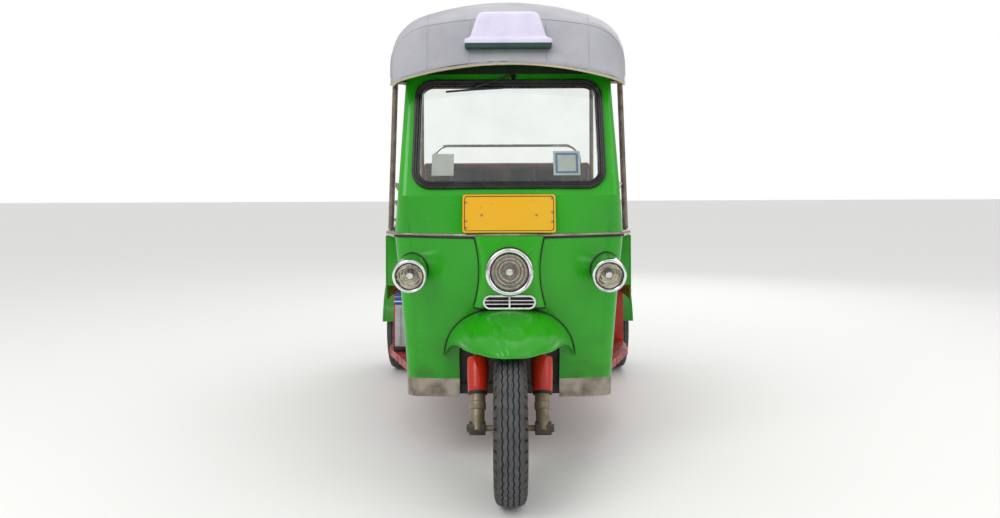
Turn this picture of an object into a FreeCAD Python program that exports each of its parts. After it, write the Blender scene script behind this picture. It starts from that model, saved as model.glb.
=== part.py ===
import FreeCAD, Part
import math
import operator
import os

import Sketcher

# An auto rickshaw, in millimetres: the vehicle faces -Y, its left side is +X, +Z is up, and the
# origin lies on the ground under the middle of its length. Stations are measured rearwards from
# the front axle.

Vector = FreeCAD.Vector
doc = FreeCAD.newDocument("auto_rickshaw")

# Driving dimensions: alias, value
DIMENSIONS = [
    # Running gear
    ("front_axle_y", -1150), ("wheelbase", 2100), ("rear_track", 1240),
    ("front_tyre_radius", 250), ("front_tyre_width", 112), ("front_rim_radius", 127),
    ("rear_tyre_radius", 265), ("rear_tyre_width", 145), ("rear_rim_radius", 152),
    ("rim_flange", 11), ("rim_wall", 6), ("bead_inset", 16), ("shoulder_width", 20),
    ("hub_radius", 34), ("disc_wall", 7),
    ("front_hub_length", 96), ("rear_hub_length", 70),
    ("front_axle_radius", 10), ("rear_axle_radius", 16), ("running_fit", 0.05),
    ("seat_gap", 0.3),
    # Fork
    ("steering_rake", 26), ("fork_offset", 40), ("fork_half_spacing", 111),
    ("fork_upper_radius", 32), ("fork_lower_radius", 24),
    ("fork_joint_run", 132), ("fork_top_run", 226), ("yoke_run", 288), ("yoke_depth", 26),
    ("yoke_bar_radius", 18),
    ("sleeve_length", 40), ("stem_clearance", 10),
    ("stem_radius", 17), ("head_tube_radius", 29), ("head_tube_start", 515), ("head_tube_length", 250),
    ("stem_top_run", 905), ("handlebar_radius", 11), ("handlebar_half_width", 300),
    ("handlebar_sweep", 80), ("grip_radius", 16), ("grip_length", 110), ("steering_lock", 38),
    # Front body
    ("sill_bottom", 265), ("shell_bottom", 335), ("shell_waist", 650), ("belt_height", 885),
    ("scuttle_height", 1035), ("header_height", 1505),
    ("shell_wall", 8), ("sill_wall", 6), ("cab_side_end", 520),
    ("arch_half_width", 190), ("arch_centre_height", 430), ("stem_slot_half_width", 75),
    ("stem_slot_top", 800),
    ("mudguard_wall", 5),
    ("nose_bottom", 628), ("nose_waist", 705), ("nose_wall", 5), ("nose_back", 300),
    # Windscreen
    ("screen_half_width", 359), ("screen_bottom", 1058), ("screen_height", 452),
    ("screen_corner_radius", 72), ("gasket_width", 28), ("gasket_depth", 24), ("gasket_proud", 8),
    ("glass_thickness", 5), ("dash_depth", 70), ("dash_half_width", 340), ("dash_wall", 6),
    # Lamps and plates
    ("headlamp_height", 763), ("headlamp_radius", 85), ("headlamp_lens_radius", 68),
    ("headlamp_front", 118), ("lens_thickness", 9),
    ("side_lamp_height", 740), ("side_lamp_x", 364), ("side_lamp_front", 212),
    ("side_lamp_radius", 63), ("side_lamp_lens_radius", 51), ("side_lamp_length", 190),
    ("grille_width", 190), ("grille_height", 50), ("grille_depth", 24), ("grille_bar", 6),
    ("grille_centre_height", 650),
    ("plate_width", 340), ("plate_height", 142), ("plate_thickness", 3),
    ("plate_centre_height", 968),
    ("sign_base_width", 333), ("sign_top_width", 237), ("sign_height", 135), ("sign_bottom", 1600),
    ("sign_depth", 90), ("sign_station", 365), ("header_panel_height", 55),
    ("header_panel_thickness", 5), ("header_panel_half_width", 424),
    # Roof
    ("canopy_wall", 10), ("hoop_radius", 11), ("hoop_gap", 4), ("canopy_gap", 2),
    ("rail_radius", 12), ("post_radius", 13), ("post_gap", 4), ("post_sink", 4), ("rail_overhang", 19),
    ("middle_post_station", 1000), ("rear_post_station", 2340),
    # Floors and rear body
    ("floor_front", 462), ("floor_height", 338), ("floor_wall", 4), ("floor_edge", 33),
    ("cab_floor_half_width", 385), ("step_half_width", 545), ("step_station", 960),
    ("riser_station", 1130), ("rear_floor_height", 580), ("rear_floor_wall", 6),
    ("tub_half_width", 549), ("tub_end", 2390), ("panel_wall", 6),
    ("panel_bottom", 560), ("panel_top", 850), ("rear_panel_top", 850),
    ("entry_front", 1290), ("entry_rear", 1740), ("side_box_front", 920),
    ("belt_rail_radius", 13), ("guard_tube_radius", 8), ("guard_spacing", 80), ("guard_gap", 12),
    ("guard_end_gap", 5),
    ("fender_gap", 32), ("fender_wall", 4), ("fender_half_width", 75),
    # Seats
    ("backrest_rail_inset", 20), ("seat_front", 1745), ("seat_depth", 450),
    ("seat_base_height", 205), ("seat_wall", 8),
    ("cushion_height", 95), ("cushion_half_width", 530), ("backrest_height", 440),
    ("backrest_thickness", 100), ("backrest_lean", 8),
    ("driver_box_front", 770), ("driver_box_depth", 330), ("driver_box_half_width", 280),
    ("driver_box_height", 370), ("driver_cushion_height", 70), ("driver_back_height", 250),
    # Frame, axle and engine
    ("rail_half_spacing", 330), ("rail_width", 40), ("rail_depth", 70), ("kick_up_length", 150),
    ("axle_tube_radius", 34), ("differential_radius", 100),
    ("engine_width", 380), ("engine_length", 300), ("engine_height", 300),
    ("engine_clearance", 18), ("engine_mount_height", 26), ("shaft_height", 330),
    ("spring_leaf", 8), ("spring_leaves", 5), ("spring_width", 50), ("spring_half_length", 275),
    ("propshaft_radius", 30), ("exhaust_radius", 62), ("exhaust_length", 380), ("tail_pipe_radius", 18),
    ("bumper_radius", 19), ("bumper_station", 2531), ("bumper_height", 430),
    ("bumper_half_width", 480), ("tow_eye_radius", 12), ("tow_eye_reach", 36), ("tow_eye_thickness", 12),
    ("rear_panel_drop", 100), ("tow_eye_drop", 8),
    ("battery_length", 260), ("battery_width", 110), ("battery_height", 210),
    ("battery_side", 508), ("battery_station", 868),
]

sheet = doc.addObject("Spreadsheet::Sheet", "dims")
for row, (alias, value) in enumerate(DIMENSIONS, start=1):
    sheet.set(f"A{row}", alias)
    sheet.set(f"B{row}", str(value))
    sheet.setAlias(f"B{row}", alias)
doc.recompute()


class Size:
    """A length or angle together with the sheet formula that gives it."""

    def __init__(self, value, formula):
        self.value = float(value)
        self.formula = formula

    def joined(self, sign, work, other):
        other = size(other)
        return Size(work(self.value, other.value), f"({self.formula} {sign} {other.formula})")

    def __add__(self, other):
        return self.joined("+", operator.add, other)

    def __sub__(self, other):
        return self.joined("-", operator.sub, other)

    def __mul__(self, other):
        return self.joined("*", operator.mul, other)

    def __truediv__(self, other):
        return self.joined("/", operator.truediv, other)

    def __radd__(self, other):
        return size(other) + self

    def __rsub__(self, other):
        return size(other) - self

    def __rmul__(self, other):
        return size(other) * self

    def __neg__(self):
        return size(0) - self


def size(number):
    """A plain number as a Size; a Size stays as it is."""
    return number if isinstance(number, Size) else Size(number, repr(float(number)))


class Dimensions:
    """The sheet's cells by alias."""

    def __getattr__(self, alias):
        return Size(float(sheet.get(alias)), f"dims.{alias}")


D = Dimensions()


def station(distance):
    """The Y of a place that lies this far behind the front axle."""
    return D.front_axle_y + distance


def number(amount):
    """The plain number of a Size or number."""
    return size(amount).value


def at(x, y, z):
    """A vector from sizes or numbers."""
    return Vector(number(x), number(y), number(z))


PARTS = []


def keep(thing, label):
    """Name an object as a sub-part that is written to its own file."""
    thing.Label = label
    PARTS.append(thing)
    return thing


def bind(thing, **sizes):
    """Bind properties of an object to the sheet."""
    for name, amount in sizes.items():
        thing.setExpression(name.replace("__", "."), size(amount).formula)


def place(thing, x=0, y=0, z=0, turn=None, angle=None):
    """Bind an object's place, and its turn about one axis by an angle in degrees."""
    if turn is not None:
        thing.Placement = FreeCAD.Placement(at(x, y, z), FreeCAD.Rotation(Vector(*turn), number(angle)))
        bind(thing, Placement__Rotation__Angle=angle)
    bind(thing, Placement__Base__x=x, Placement__Base__y=y, Placement__Base__z=z)


def block(name, x, y, z):
    """A box from three (low, high) pairs."""
    box = doc.addObject("Part::Box", name)
    bind(box, Length=x[1] - size(x[0]), Width=y[1] - size(y[0]), Height=z[1] - size(z[0]))
    place(box, x[0], y[0], z[0])
    return box


def plane_of(body, role):
    """One of a body's own origin planes."""
    return next(plane for plane in body.Origin.OriginFeatures if plane.Role == role)


def draw(sketch, corners):
    """Draw a closed outline. Each corner is (x, y), with a radius where the side that leaves it is an
    arc: positive bulges to the right of the way round, negative to the left."""
    corners = [tuple(corner) + (None,) * (3 - len(corner)) for corner in corners]
    sides = []
    for (x, y, radius), (next_x, next_y, _) in zip(corners, corners[1:] + corners[:1]):
        start, end = at(x, y, 0), at(next_x, next_y, 0)
        if radius is None:
            sides.append((sketch.addGeometry(Part.LineSegment(start, end), False), 1, 2))
            continue
        chord = end - start
        reach = abs(number(radius))
        rise = math.sqrt(reach * reach - chord.Length ** 2 / 4)
        left = Vector(-chord.y, chord.x, 0).normalize()
        right_bulge = number(radius) > 0
        centre = (start + end) * 0.5 + left * (rise if right_bulge else -rise)
        from_angle = math.atan2(start.y - centre.y, start.x - centre.x)
        to_angle = math.atan2(end.y - centre.y, end.x - centre.x)
        circle = Part.Circle(centre, Vector(0, 0, 1), reach)
        if right_bulge:
            arc = Part.ArcOfCircle(circle, from_angle, to_angle)
            side = (sketch.addGeometry(arc, False), 1, 2)
        else:
            arc = Part.ArcOfCircle(circle, to_angle, from_angle)
            side = (sketch.addGeometry(arc, False), 2, 1)
        sides.append(side)
        bound = sketch.addConstraint(Sketcher.Constraint("Radius", side[0], reach))
        reach_size = size(radius) if right_bulge else -size(radius)
        sketch.setExpression(f"Constraints[{bound}]", reach_size.formula)
    for (side, _, end), (next_side, start, _) in zip(sides, sides[1:] + sides[:1]):
        sketch.addConstraint(Sketcher.Constraint("Coincident", side, end, next_side, start))
    for (side, start, _), (x, y, _) in zip(sides, corners):
        for kind, amount in (("DistanceX", x), ("DistanceY", y)):
            bound = sketch.addConstraint(Sketcher.Constraint(kind, side, start, number(amount)))
            sketch.setExpression(f"Constraints[{bound}]", size(amount).formula)


def sketch_on(body, role, *outlines):
    """A sketch on one of the body's origin planes with closed outlines."""
    sketch = body.newObject("Sketcher::SketchObject", f"{body.Name}_sketch")
    sketch.AttachmentSupport = [(plane_of(body, role), "")]
    sketch.MapMode = "FlatFace"
    for corners in outlines:
        draw(sketch, corners)
    return sketch


def padded_plate(name, role, thickness, *outlines):
    """A body padded by a thickness from outlines on an origin plane, both ways from the plane."""
    body = doc.addObject("PartDesign::Body", name)
    pad = body.newObject("PartDesign::Pad", f"{name}_pad")
    pad.Profile = sketch_on(body, role, *outlines)
    bind(pad, Length=thickness)
    pad.Midplane = True
    return body


def turned(name, profile):
    """A body turned about X from a profile whose corners are (along X, radius)."""
    body = doc.addObject("PartDesign::Body", name)
    turn = body.newObject("PartDesign::Revolution", f"{name}_turn")
    turn.Profile = sketch_on(body, "XY_Plane", profile)
    turn.ReferenceAxis = (turn.Profile[0], ["H_Axis"])
    turn.Angle = 360
    return body


def rounded_rectangle(half_width, half_height, radius, x=0, y=0):
    """Corners of a rectangle whose four corners are arcs."""
    left, right = x - size(half_width), x + size(half_width)
    low, high = y - size(half_height), y + size(half_height)
    return [(left + radius, low), (right - radius, low, radius), (right, low + radius),
            (right, high - radius, radius), (right - radius, high), (left + radius, high, radius),
            (left, high - radius), (left, low + radius, radius)]


def rectangle(x, y):
    """Corners of a rectangle from two (low, high) pairs."""
    return [(x[0], y[0]), (x[1], y[0]), (x[1], y[1]), (x[0], y[1])]


def feature(name, shape):
    """An object that holds a ready shape."""
    thing = doc.addObject("Part::Feature", name)
    thing.Shape = shape
    return thing


def arc_through(start, middle, end):
    return Part.Arc(start, middle, end).toShape()


def line(start, end):
    return Part.LineSegment(start, end).toShape()


def rod(points, radius, bend=0):
    """A round bar through points, with a tangent arc of the bend radius at each inner point."""
    radius, bend = number(radius), number(bend)
    if len(points) == 2:
        run = points[1] - points[0]
        return Part.makeCylinder(radius, run.Length, points[0], run)
    edges, last = [], points[0]
    for before, corner, after in zip(points, points[1:], points[2:]):
        back, ahead = (before - corner).normalize(), (after - corner).normalize()
        half = back.getAngle(ahead) / 2
        leave = bend / math.tan(half)
        inward = (back + ahead).normalize()
        middle = corner + inward * (bend / math.sin(half) - bend)
        edges.append(line(last, corner + back * leave))
        edges.append(arc_through(corner + back * leave, middle, corner + ahead * leave))
        last = corner + ahead * leave
    edges.append(line(last, points[-1]))
    section = Part.Wire(Part.Circle(points[0], points[1] - points[0], radius).toShape())
    return Part.Wire(edges).makePipeShell([section], True, False)


def both_sides(shape):
    """A shape and its mirror image across the middle of the vehicle."""
    return [shape, shape.mirror(Vector(0, 0, 0), Vector(1, 0, 0))]


def fused(shapes):
    return shapes[0].multiFuse(shapes[1:]).removeSplitter()


def lofted(wires, ruled):
    return Part.makeLoft(wires, True, ruled)


# Front body: plan sections, each a bowed front with round corners and straight sides


def plan_section(height, half_width, front, bow, corner, back, inset=0):
    """A closed plan outline of the front body at one height."""
    wide = number(half_width) - inset
    round_corner = number(corner) - inset
    ahead = number(station(front)) + inset
    behind = number(station(back)) + (inset + 10 if inset else 0)
    low = number(height)
    shoulder = ahead + number(bow)
    flat = wide - round_corner
    cut = round_corner * (1 - math.sqrt(0.5))
    left = [Vector(flat, shoulder, low), Vector(wide - cut, shoulder + cut, low),
            Vector(wide, shoulder + round_corner, low), Vector(wide, behind, low)]
    right = [Vector(-point.x, point.y, point.z) for point in left]
    return Part.Wire([
        arc_through(right[0], Vector(0, ahead, low), left[0]),
        arc_through(left[0], left[1], left[2]),
        line(left[2], left[3]),
        line(left[3], right[3]),
        line(right[3], right[2]),
        arc_through(right[2], right[1], right[0]),
    ])


# height, half width, front station, bow, corner radius, back station
SHELL_SECTIONS = [
    (D.shell_bottom, 396, 345, 25, 50, D.cab_side_end),
    (D.shell_waist, 417, 250, 85, 60, D.cab_side_end),
    (D.belt_height, 440, 200, 120, 70, D.cab_side_end),
]
SCUTTLE_SECTION = (D.scuttle_height, 412, 228, 4, 34, 440)
HEADER_SECTION = (D.header_height, 400, 410, 4, 28, 540)


def front_volume(inset=0):
    """The front body below the belt as a solid."""
    return lofted([plan_section(*section, inset=inset) for section in SHELL_SECTIONS], False)


def upper_volume(inset=0):
    """The front body between the belt and the header as a solid."""
    sections = [SHELL_SECTIONS[-1], SCUTTLE_SECTION, HEADER_SECTION]
    return lofted([plan_section(*section, inset=inset) for section in sections], True)


def front_shell():
    """Lower front panels with the wheel arch and the slot for the steering stem."""
    shell = front_volume().cut(front_volume(D.shell_wall.value))
    reach = D.cab_side_end.value
    arch = Part.makeCylinder(D.arch_half_width.value, reach,
                             at(0, D.front_axle_y, D.arch_centre_height), Vector(0, 1, 0))
    below = Part.makeBox(2 * D.arch_half_width.value, reach, D.arch_centre_height.value,
                         at(-D.arch_half_width, D.front_axle_y, 0))
    slot = Part.makeBox(2 * D.stem_slot_half_width.value, reach,
                        (D.stem_slot_top - D.arch_centre_height).value,
                        at(-D.stem_slot_half_width, D.front_axle_y, D.arch_centre_height))
    return shell.cut(arch.multiFuse([below, slot]))


def sill_strip():
    """The plain strip under the lower front panels, open at the wheel arch."""
    outline = (D.shell_bottom,) + SHELL_SECTIONS[0][1:]
    outer = Part.Face(plan_section(*outline))
    inner = Part.Face(plan_section(*outline, inset=D.sill_wall.value))
    depth = Vector(0, 0, (D.sill_bottom - D.shell_bottom).value)
    ring = outer.extrude(depth).cut(inner.extrude(depth))
    arch = Part.makeBox(2 * D.arch_half_width.value, D.cab_side_end.value, D.shell_bottom.value,
                        at(-D.arch_half_width, D.front_axle_y, 0))
    return ring.cut(arch)


# Raised nose panel: height, half width, front station
NOSE_SECTIONS = [
    (D.nose_bottom, 130, 192),
    (D.nose_waist, 113, 180),
    (D.belt_height, 127, 184),
]
NOSE_CORNER = 34


def nose_section(height, half_width, front, inset):
    """A plan outline of the nose: round front corners, straight sides that run back."""
    corner = NOSE_CORNER - inset
    wide = half_width - inset
    ahead = number(station(front)) + inset
    behind = number(station(D.nose_back)) + (inset + 10 if inset else 0)
    low = number(height)
    cut = corner * (1 - math.sqrt(0.5))
    left = [Vector(wide - corner, ahead, low), Vector(wide - cut, ahead + cut, low),
            Vector(wide, ahead + corner, low), Vector(wide, behind, low)]
    right = [Vector(-point.x, point.y, point.z) for point in left]
    return Part.Wire([
        line(right[0], left[0]), arc_through(left[0], left[1], left[2]), line(left[2], left[3]),
        line(left[3], right[3]), line(right[3], right[2]), arc_through(right[2], right[1], right[0]),
    ])


def nose_volume(inset=0):
    return lofted([nose_section(*section, inset) for section in NOSE_SECTIONS], False)


def nose_panel():
    """The raised panel that carries the headlamp, seated on the lower shell."""
    return nose_volume().cut(nose_volume(D.nose_wall.value)).cut(front_volume())


# Mudguard arches, from its front lip to the shell: station, half width, rim height, crown height
MUDGUARD_SECTIONS = [
    (-118, 34, 505, 515),
    (-100, 66, 505, 534),
    (-60, 116, 506, 562),
    (20, 166, 507, 590),
    (130, 206, 503, 613),
    (240, 236, 476, 622),
    (385, 254, 430, 606),
]


def mudguard_section(index, inset):
    """An arch of the mudguard at one station, in a plane across the vehicle."""
    distance, half_width, rim, crown = MUDGUARD_SECTIONS[index]
    wide = half_width - inset
    rise = crown - rim - inset
    y = number(station(distance)) + (inset if index == 0 else 0)
    left, right = Vector(wide, y, rim), Vector(-wide, y, rim)
    side = Vector(wide * 0.78, y, rim + rise * 0.66)
    below = Vector(0, 0, -inset)
    bottom = [left, left + below, right + below, right] if inset else [left, right]
    return Part.Wire([
        arc_through(right, Vector(-side.x * 1.08, y, rim + rise * 0.40), Vector(-side.x, y, side.z)),
        arc_through(Vector(-side.x, y, side.z), Vector(0, y, rim + rise), side),
        arc_through(side, Vector(side.x * 1.08, y, rim + rise * 0.40), left),
    ] + [line(start, end) for start, end in zip(bottom, bottom[1:])])


def mudguard_volume(inset=0):
    return lofted([mudguard_section(index, inset) for index in range(len(MUDGUARD_SECTIONS))], False)


def front_mudguard():
    """The domed hood over the steered wheel, cut where it meets the nose and the shell."""
    hood = mudguard_volume().cut(mudguard_volume(D.mudguard_wall.value))
    stem_room = rod([steering_point(D.yoke_run), steering_point(D.head_tube_start)],
                    D.stem_radius + D.stem_clearance)
    return hood.cut(front_volume()).cut(nose_volume()).cut(stem_room)


# Windscreen: a flat pane in a rubber section, on the raked front of the upper cab

SCREEN_RISE = HEADER_SECTION[0] - SCUTTLE_SECTION[0]
SCREEN_RUN = HEADER_SECTION[2] - SCUTTLE_SECTION[2]
SCREEN_RAKE = math.degrees(math.atan2(SCREEN_RUN, SCREEN_RISE.value))


def screen_placement():
    """The middle of the window on the panel's outer face, its Z up the slope, -Y outwards."""
    slope = math.radians(SCREEN_RAKE)
    half = D.screen_height.value / 2
    up = D.screen_bottom.value - SCUTTLE_SECTION[0].value + half * math.cos(slope)
    y = number(station(SCUTTLE_SECTION[2])) + up * math.tan(slope)
    z = SCUTTLE_SECTION[0].value + up
    return FreeCAD.Placement(Vector(0, y, z), FreeCAD.Rotation(Vector(1, 0, 0), -SCREEN_RAKE))


def windscreen_surround():
    """Scuttle, pillars and header in one pressing, with the window cut out."""
    panel = upper_volume().cut(upper_volume(D.shell_wall.value))
    radius = D.screen_corner_radius.value
    block_size = (2 * D.screen_half_width.value, 80, D.screen_height.value)
    cutter = Part.makeBox(*block_size, Vector(-block_size[0] / 2, -40, -block_size[2] / 2))
    upright = [edge for edge in cutter.Edges if abs(edge.tangentAt(edge.FirstParameter).y) > 0.5]
    cutter = cutter.makeFillet(radius, upright)
    cutter.Placement = screen_placement()
    return panel.cut(cutter)


def windscreen():
    """The rubber section and the pane inside it."""
    half_width = D.screen_half_width - D.seat_gap
    half_height = D.screen_height / 2 - D.seat_gap
    radius = D.screen_corner_radius - D.seat_gap
    gasket = padded_plate("windscreen_gasket_body", "XZ_Plane", D.gasket_depth,
                          rounded_rectangle(half_width, half_height, radius),
                          rounded_rectangle(half_width - D.gasket_width, half_height - D.gasket_width,
                                            radius - D.gasket_width))
    glass = padded_plate("windscreen_glass_body", "XZ_Plane", D.glass_thickness,
                         rounded_rectangle(half_width - D.gasket_width - D.running_fit,
                                           half_height - D.gasket_width - D.running_fit,
                                           radius - D.gasket_width - D.running_fit))
    middle = screen_placement()
    back = middle.Rotation.multVec(Vector(0, (D.gasket_depth / 2 - D.gasket_proud).value, 0))
    for body in (gasket, glass):
        body.Placement = FreeCAD.Placement(middle.Base + back, middle.Rotation)
    keep(gasket, "windscreen_gasket")
    keep(glass, "windscreen_glass")


def dash_shelf():
    """A narrow shelf behind the scuttle, cut to the panel's inner face."""
    y = number(station(SCUTTLE_SECTION[2]))
    shelf = Part.makeBox(2 * D.dash_half_width.value, D.dash_depth.value + 40, D.dash_wall.value,
                         Vector(-D.dash_half_width.value, y - 20, D.scuttle_height.value - 25))
    inside = upper_volume(D.shell_wall.value + D.running_fit.value)
    limit = Part.makeBox(2 * D.dash_half_width.value, D.dash_depth.value, D.dash_wall.value,
                         Vector(-D.dash_half_width.value, y, D.scuttle_height.value - 25))
    return shelf.common(inside).common(limit)


# Lamps: housings are bowls turned about their own axis, with the lens seated in the rim


def bowl(radius, length, lens_radius, tail):
    """A lamp housing about +Y, its front rim at the origin."""
    bead = radius - lens_radius
    profile = Part.Wire([
        line(Vector(0, length, 0), Vector(0, D.lens_thickness.value, 0)),
        line(Vector(0, D.lens_thickness.value, 0), Vector(lens_radius, D.lens_thickness.value, 0)),
        line(Vector(lens_radius, D.lens_thickness.value, 0), Vector(lens_radius, 0, 0)),
        line(Vector(lens_radius, 0, 0), Vector(lens_radius + bead / 2, -bead / 2, 0)),
        line(Vector(lens_radius + bead / 2, -bead / 2, 0), Vector(radius, 0, 0)),
        line(Vector(radius, 0, 0), Vector(radius * 0.96, length * 0.2, 0)),
        line(Vector(radius * 0.96, length * 0.2, 0), Vector(radius * 0.78, length * 0.66, 0)),
        line(Vector(radius * 0.78, length * 0.66, 0), Vector(tail, length, 0)),
        line(Vector(tail, length, 0), Vector(0, length, 0)),
    ])
    return Part.Face(profile).revolve(Vector(0, 0, 0), Vector(0, 1, 0), 360)


def dome_lens(radius):
    """A shallow convex lens, its back on the housing's seat and its face part of a sphere."""
    radius = radius - D.running_fit.value
    back = D.lens_thickness.value - D.running_fit.value
    bulge = radius * 0.12
    sphere = (radius ** 2 + bulge ** 2) / (2 * bulge)
    half = math.asin(radius / sphere) / 2
    profile = Part.Wire([
        line(Vector(0, back, 0), Vector(radius, back, 0)),
        line(Vector(radius, back, 0), Vector(radius, 0, 0)),
        arc_through(Vector(radius, 0, 0),
                    Vector(sphere * math.sin(half), sphere * (1 - math.cos(half)) - bulge, 0),
                    Vector(0, -bulge, 0)),
        line(Vector(0, -bulge, 0), Vector(0, back, 0)),
    ])
    return Part.Face(profile).revolve(Vector(0, 0, 0), Vector(0, 1, 0), 360)


def lamps():
    """Three housings and three lenses."""
    front = FreeCAD.Placement(at(0, station(D.headlamp_front), D.headlamp_height), FreeCAD.Rotation())
    aside = FreeCAD.Placement(at(D.side_lamp_x, station(D.side_lamp_front), D.side_lamp_height),
                              FreeCAD.Rotation(Vector(1, 0, 0), 12))
    head = bowl(D.headlamp_radius.value, 150, D.headlamp_lens_radius.value, 40)
    head.Placement = front
    side = bowl(D.side_lamp_radius.value, D.side_lamp_length.value, D.side_lamp_lens_radius.value, 16)
    side.Placement = aside
    head_lens = dome_lens(D.headlamp_lens_radius.value)
    head_lens.Placement = front
    side_lens = dome_lens(D.side_lamp_lens_radius.value)
    side_lens.Placement = aside
    seated = [head.cut(nose_volume())] + both_sides(side.cut(front_volume()))
    keep(feature("lamp_housings_body", Part.makeCompound(seated)), "lamp_housings")
    keep(feature("lamp_lenses_body", Part.makeCompound([head_lens] + both_sides(side_lens))),
         "lamp_lenses")


def nose_grille():
    """An oval chrome ring with bars across it, seated on the nose under the headlamp."""
    wide, high, bar = D.grille_width.value, D.grille_height.value, D.grille_bar.value
    radius, deep = high / 2, D.grille_depth.value

    def oval(half, reach):
        middle = Part.makeBox(2 * half, deep, 2 * reach, Vector(-half, 0, -reach))
        ends = [Part.makeCylinder(reach, deep, Vector(side * half, 0, 0), Vector(0, 1, 0))
                for side in (-1, 1)]
        return fused([middle] + ends)

    straight = wide / 2 - radius
    ring = oval(straight, radius).cut(oval(straight, radius - bar))
    gap = (high - 2 * bar) / 3
    bars = [Part.makeBox(wide - 2 * bar, deep, bar / 2, Vector(-wide / 2 + bar, 0, level * gap - bar / 4))
            .common(oval(straight, radius - bar / 2)) for level in (-0.5, 0.5)]
    post = Part.makeBox(bar, deep, high - bar, Vector(-bar / 2, 0, -high / 2 + bar / 2))
    grille = fused([ring] + bars + [post])
    front = min(section[2] for section in NOSE_SECTIONS) - bar
    grille.Placement = FreeCAD.Placement(at(0, station(front), D.grille_centre_height), FreeCAD.Rotation())
    return grille.cut(nose_volume()).cut(front_volume()).cut(mudguard_volume())


def number_plates():
    """Blank plates: one on the scuttle, one on the rear panel."""
    rise = (D.scuttle_height - D.belt_height).value
    run = SCUTTLE_SECTION[2] - SHELL_SECTIONS[-1][2]
    lean = math.degrees(math.atan2(run, rise))
    plates = []
    blank = Part.makeBox(D.plate_width.value, D.plate_thickness.value, D.plate_height.value,
                         at(-D.plate_width / 2, -D.plate_thickness - D.seat_gap, -D.plate_height / 2))
    share = (D.plate_centre_height - D.belt_height).value / rise
    front = blank.copy()
    front.Placement = FreeCAD.Placement(
        at(0, station(SHELL_SECTIONS[-1][2] + run * share), D.plate_centre_height),
        FreeCAD.Rotation(Vector(1, 0, 0), -lean))
    plates.append(front)
    rear = Part.makeBox(D.plate_width.value, D.plate_thickness.value, D.plate_height.value,
                        at(-D.plate_width / 2, station(D.tub_end + D.panel_wall) + D.seat_gap,
                           D.rear_panel_top - D.plate_height - 30))
    plates.append(rear)
    return Part.makeCompound(plates)


# Roof: arches across the vehicle
# station, half width, edge height, shoulder height, corner radius, crown height
ROOF_SECTIONS = [
    (300, 436, 1455, 1468, 60, 1526),
    (430, 456, 1474, 1575, 120, 1716),
    (600, 478, 1494, 1632, 160, 1822),
    (1000, 546, 1545, 1690, 180, 1895),
    (1700, 560, 1640, 1735, 180, 1912),
    (2340, 558, 1725, 1785, 130, 1880),
    (2440, 550, 1735, 1775, 90, 1835),
]


def roof_arch(index, inset=0, drop=0):
    """Edges of one roof arch, from the right edge over the crown to the left edge."""
    distance, half_width, edge, shoulder, corner, crown = ROOF_SECTIONS[index]
    y = number(station(distance))
    wide = half_width - inset
    start = edge - drop
    round_corner = corner - inset / 2
    cut = round_corner * (1 - math.sqrt(0.5))
    top = shoulder + corner * 0.62 - inset
    bend = Vector(wide - cut, y, shoulder + (top - shoulder) * 0.66)
    left = [Vector(wide, y, start), Vector(wide, y, shoulder), bend, Vector(wide - round_corner, y, top)]
    right = [Vector(-point.x, point.y, point.z) for point in left]
    return [
        line(right[0], right[1]), arc_through(right[1], right[2], right[3]),
        arc_through(right[3], Vector(0, y, crown - inset), left[3]),
        arc_through(left[3], left[2], left[1]), line(left[1], left[0]),
    ]


def roof_volume(inset=0, drop=0):
    """The room under the roof's outer face, closed below by straight lines between its edges."""
    wires = []
    for index in range(len(ROOF_SECTIONS)):
        edges = roof_arch(index, inset, drop)
        ends = edges[-1].Vertexes[-1].Point, edges[0].Vertexes[0].Point
        wires.append(Part.Wire(edges + [line(*ends)]))
    return lofted(wires, True)


def canopy():
    """The domed cover, open below and at both ends."""
    return roof_volume().cut(roof_volume(D.canopy_wall.value, 5))


def rail_point(index, side=1):
    """The middle of the edge rail at one roof arch."""
    distance, half_width, edge = ROOF_SECTIONS[index][:3]
    inside = half_width - (D.canopy_wall + D.canopy_gap + D.rail_radius).value
    return at(side * inside, station(distance), edge + D.rail_radius + 1)


HOOPS = [2, 3, 4, 5]


def hoop(index):
    """A bent tube under one roof arch, from one edge rail to the other."""
    inset = (D.canopy_wall + D.hoop_radius + D.hoop_gap).value
    path = Part.Wire(roof_arch(index, inset, -(D.rail_radius.value + 1)))
    first = path.OrderedEdges[0]
    section = Part.Circle(path.OrderedVertexes[0].Point, first.tangentAt(first.FirstParameter),
                          D.hoop_radius.value)
    return path.makePipeShell([Part.Wire(section.toShape())], True, False)


def belt_point(distance):
    """The middle of the belt rail at a station, on the left side."""
    cab_x = SHELL_SECTIONS[-1][1] - D.belt_rail_radius.value
    wide_x = D.tub_half_width.value + D.panel_wall.value - D.belt_rail_radius.value
    low = (D.panel_top + D.belt_rail_radius).value
    high = (D.belt_height - D.belt_rail_radius).value
    share = min(1, (distance - D.cab_side_end.value) / (D.side_box_front - D.cab_side_end).value)
    return at(cab_x + share * (wide_x - cab_x), station(distance), high + share * (low - high))


def header_foot(side):
    """A bracket on one end of the cab header, turned down outside it to the edge rail."""
    y = number(station(HEADER_SECTION[2] + 70))
    outer = rail_point(1).x + D.rail_radius.value
    top, wall = (D.header_height + D.seat_gap).value, 16
    boxes = []
    for inner, low in ((HEADER_SECTION[1] - 24, top), (HEADER_SECTION[1] + 4, rail_point(1).z - 4)):
        left = inner if side > 0 else -outer
        boxes.append(Part.makeBox(outer - inner, 60, top + wall - low, Vector(left, y - 30, low)))
    return boxes


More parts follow.
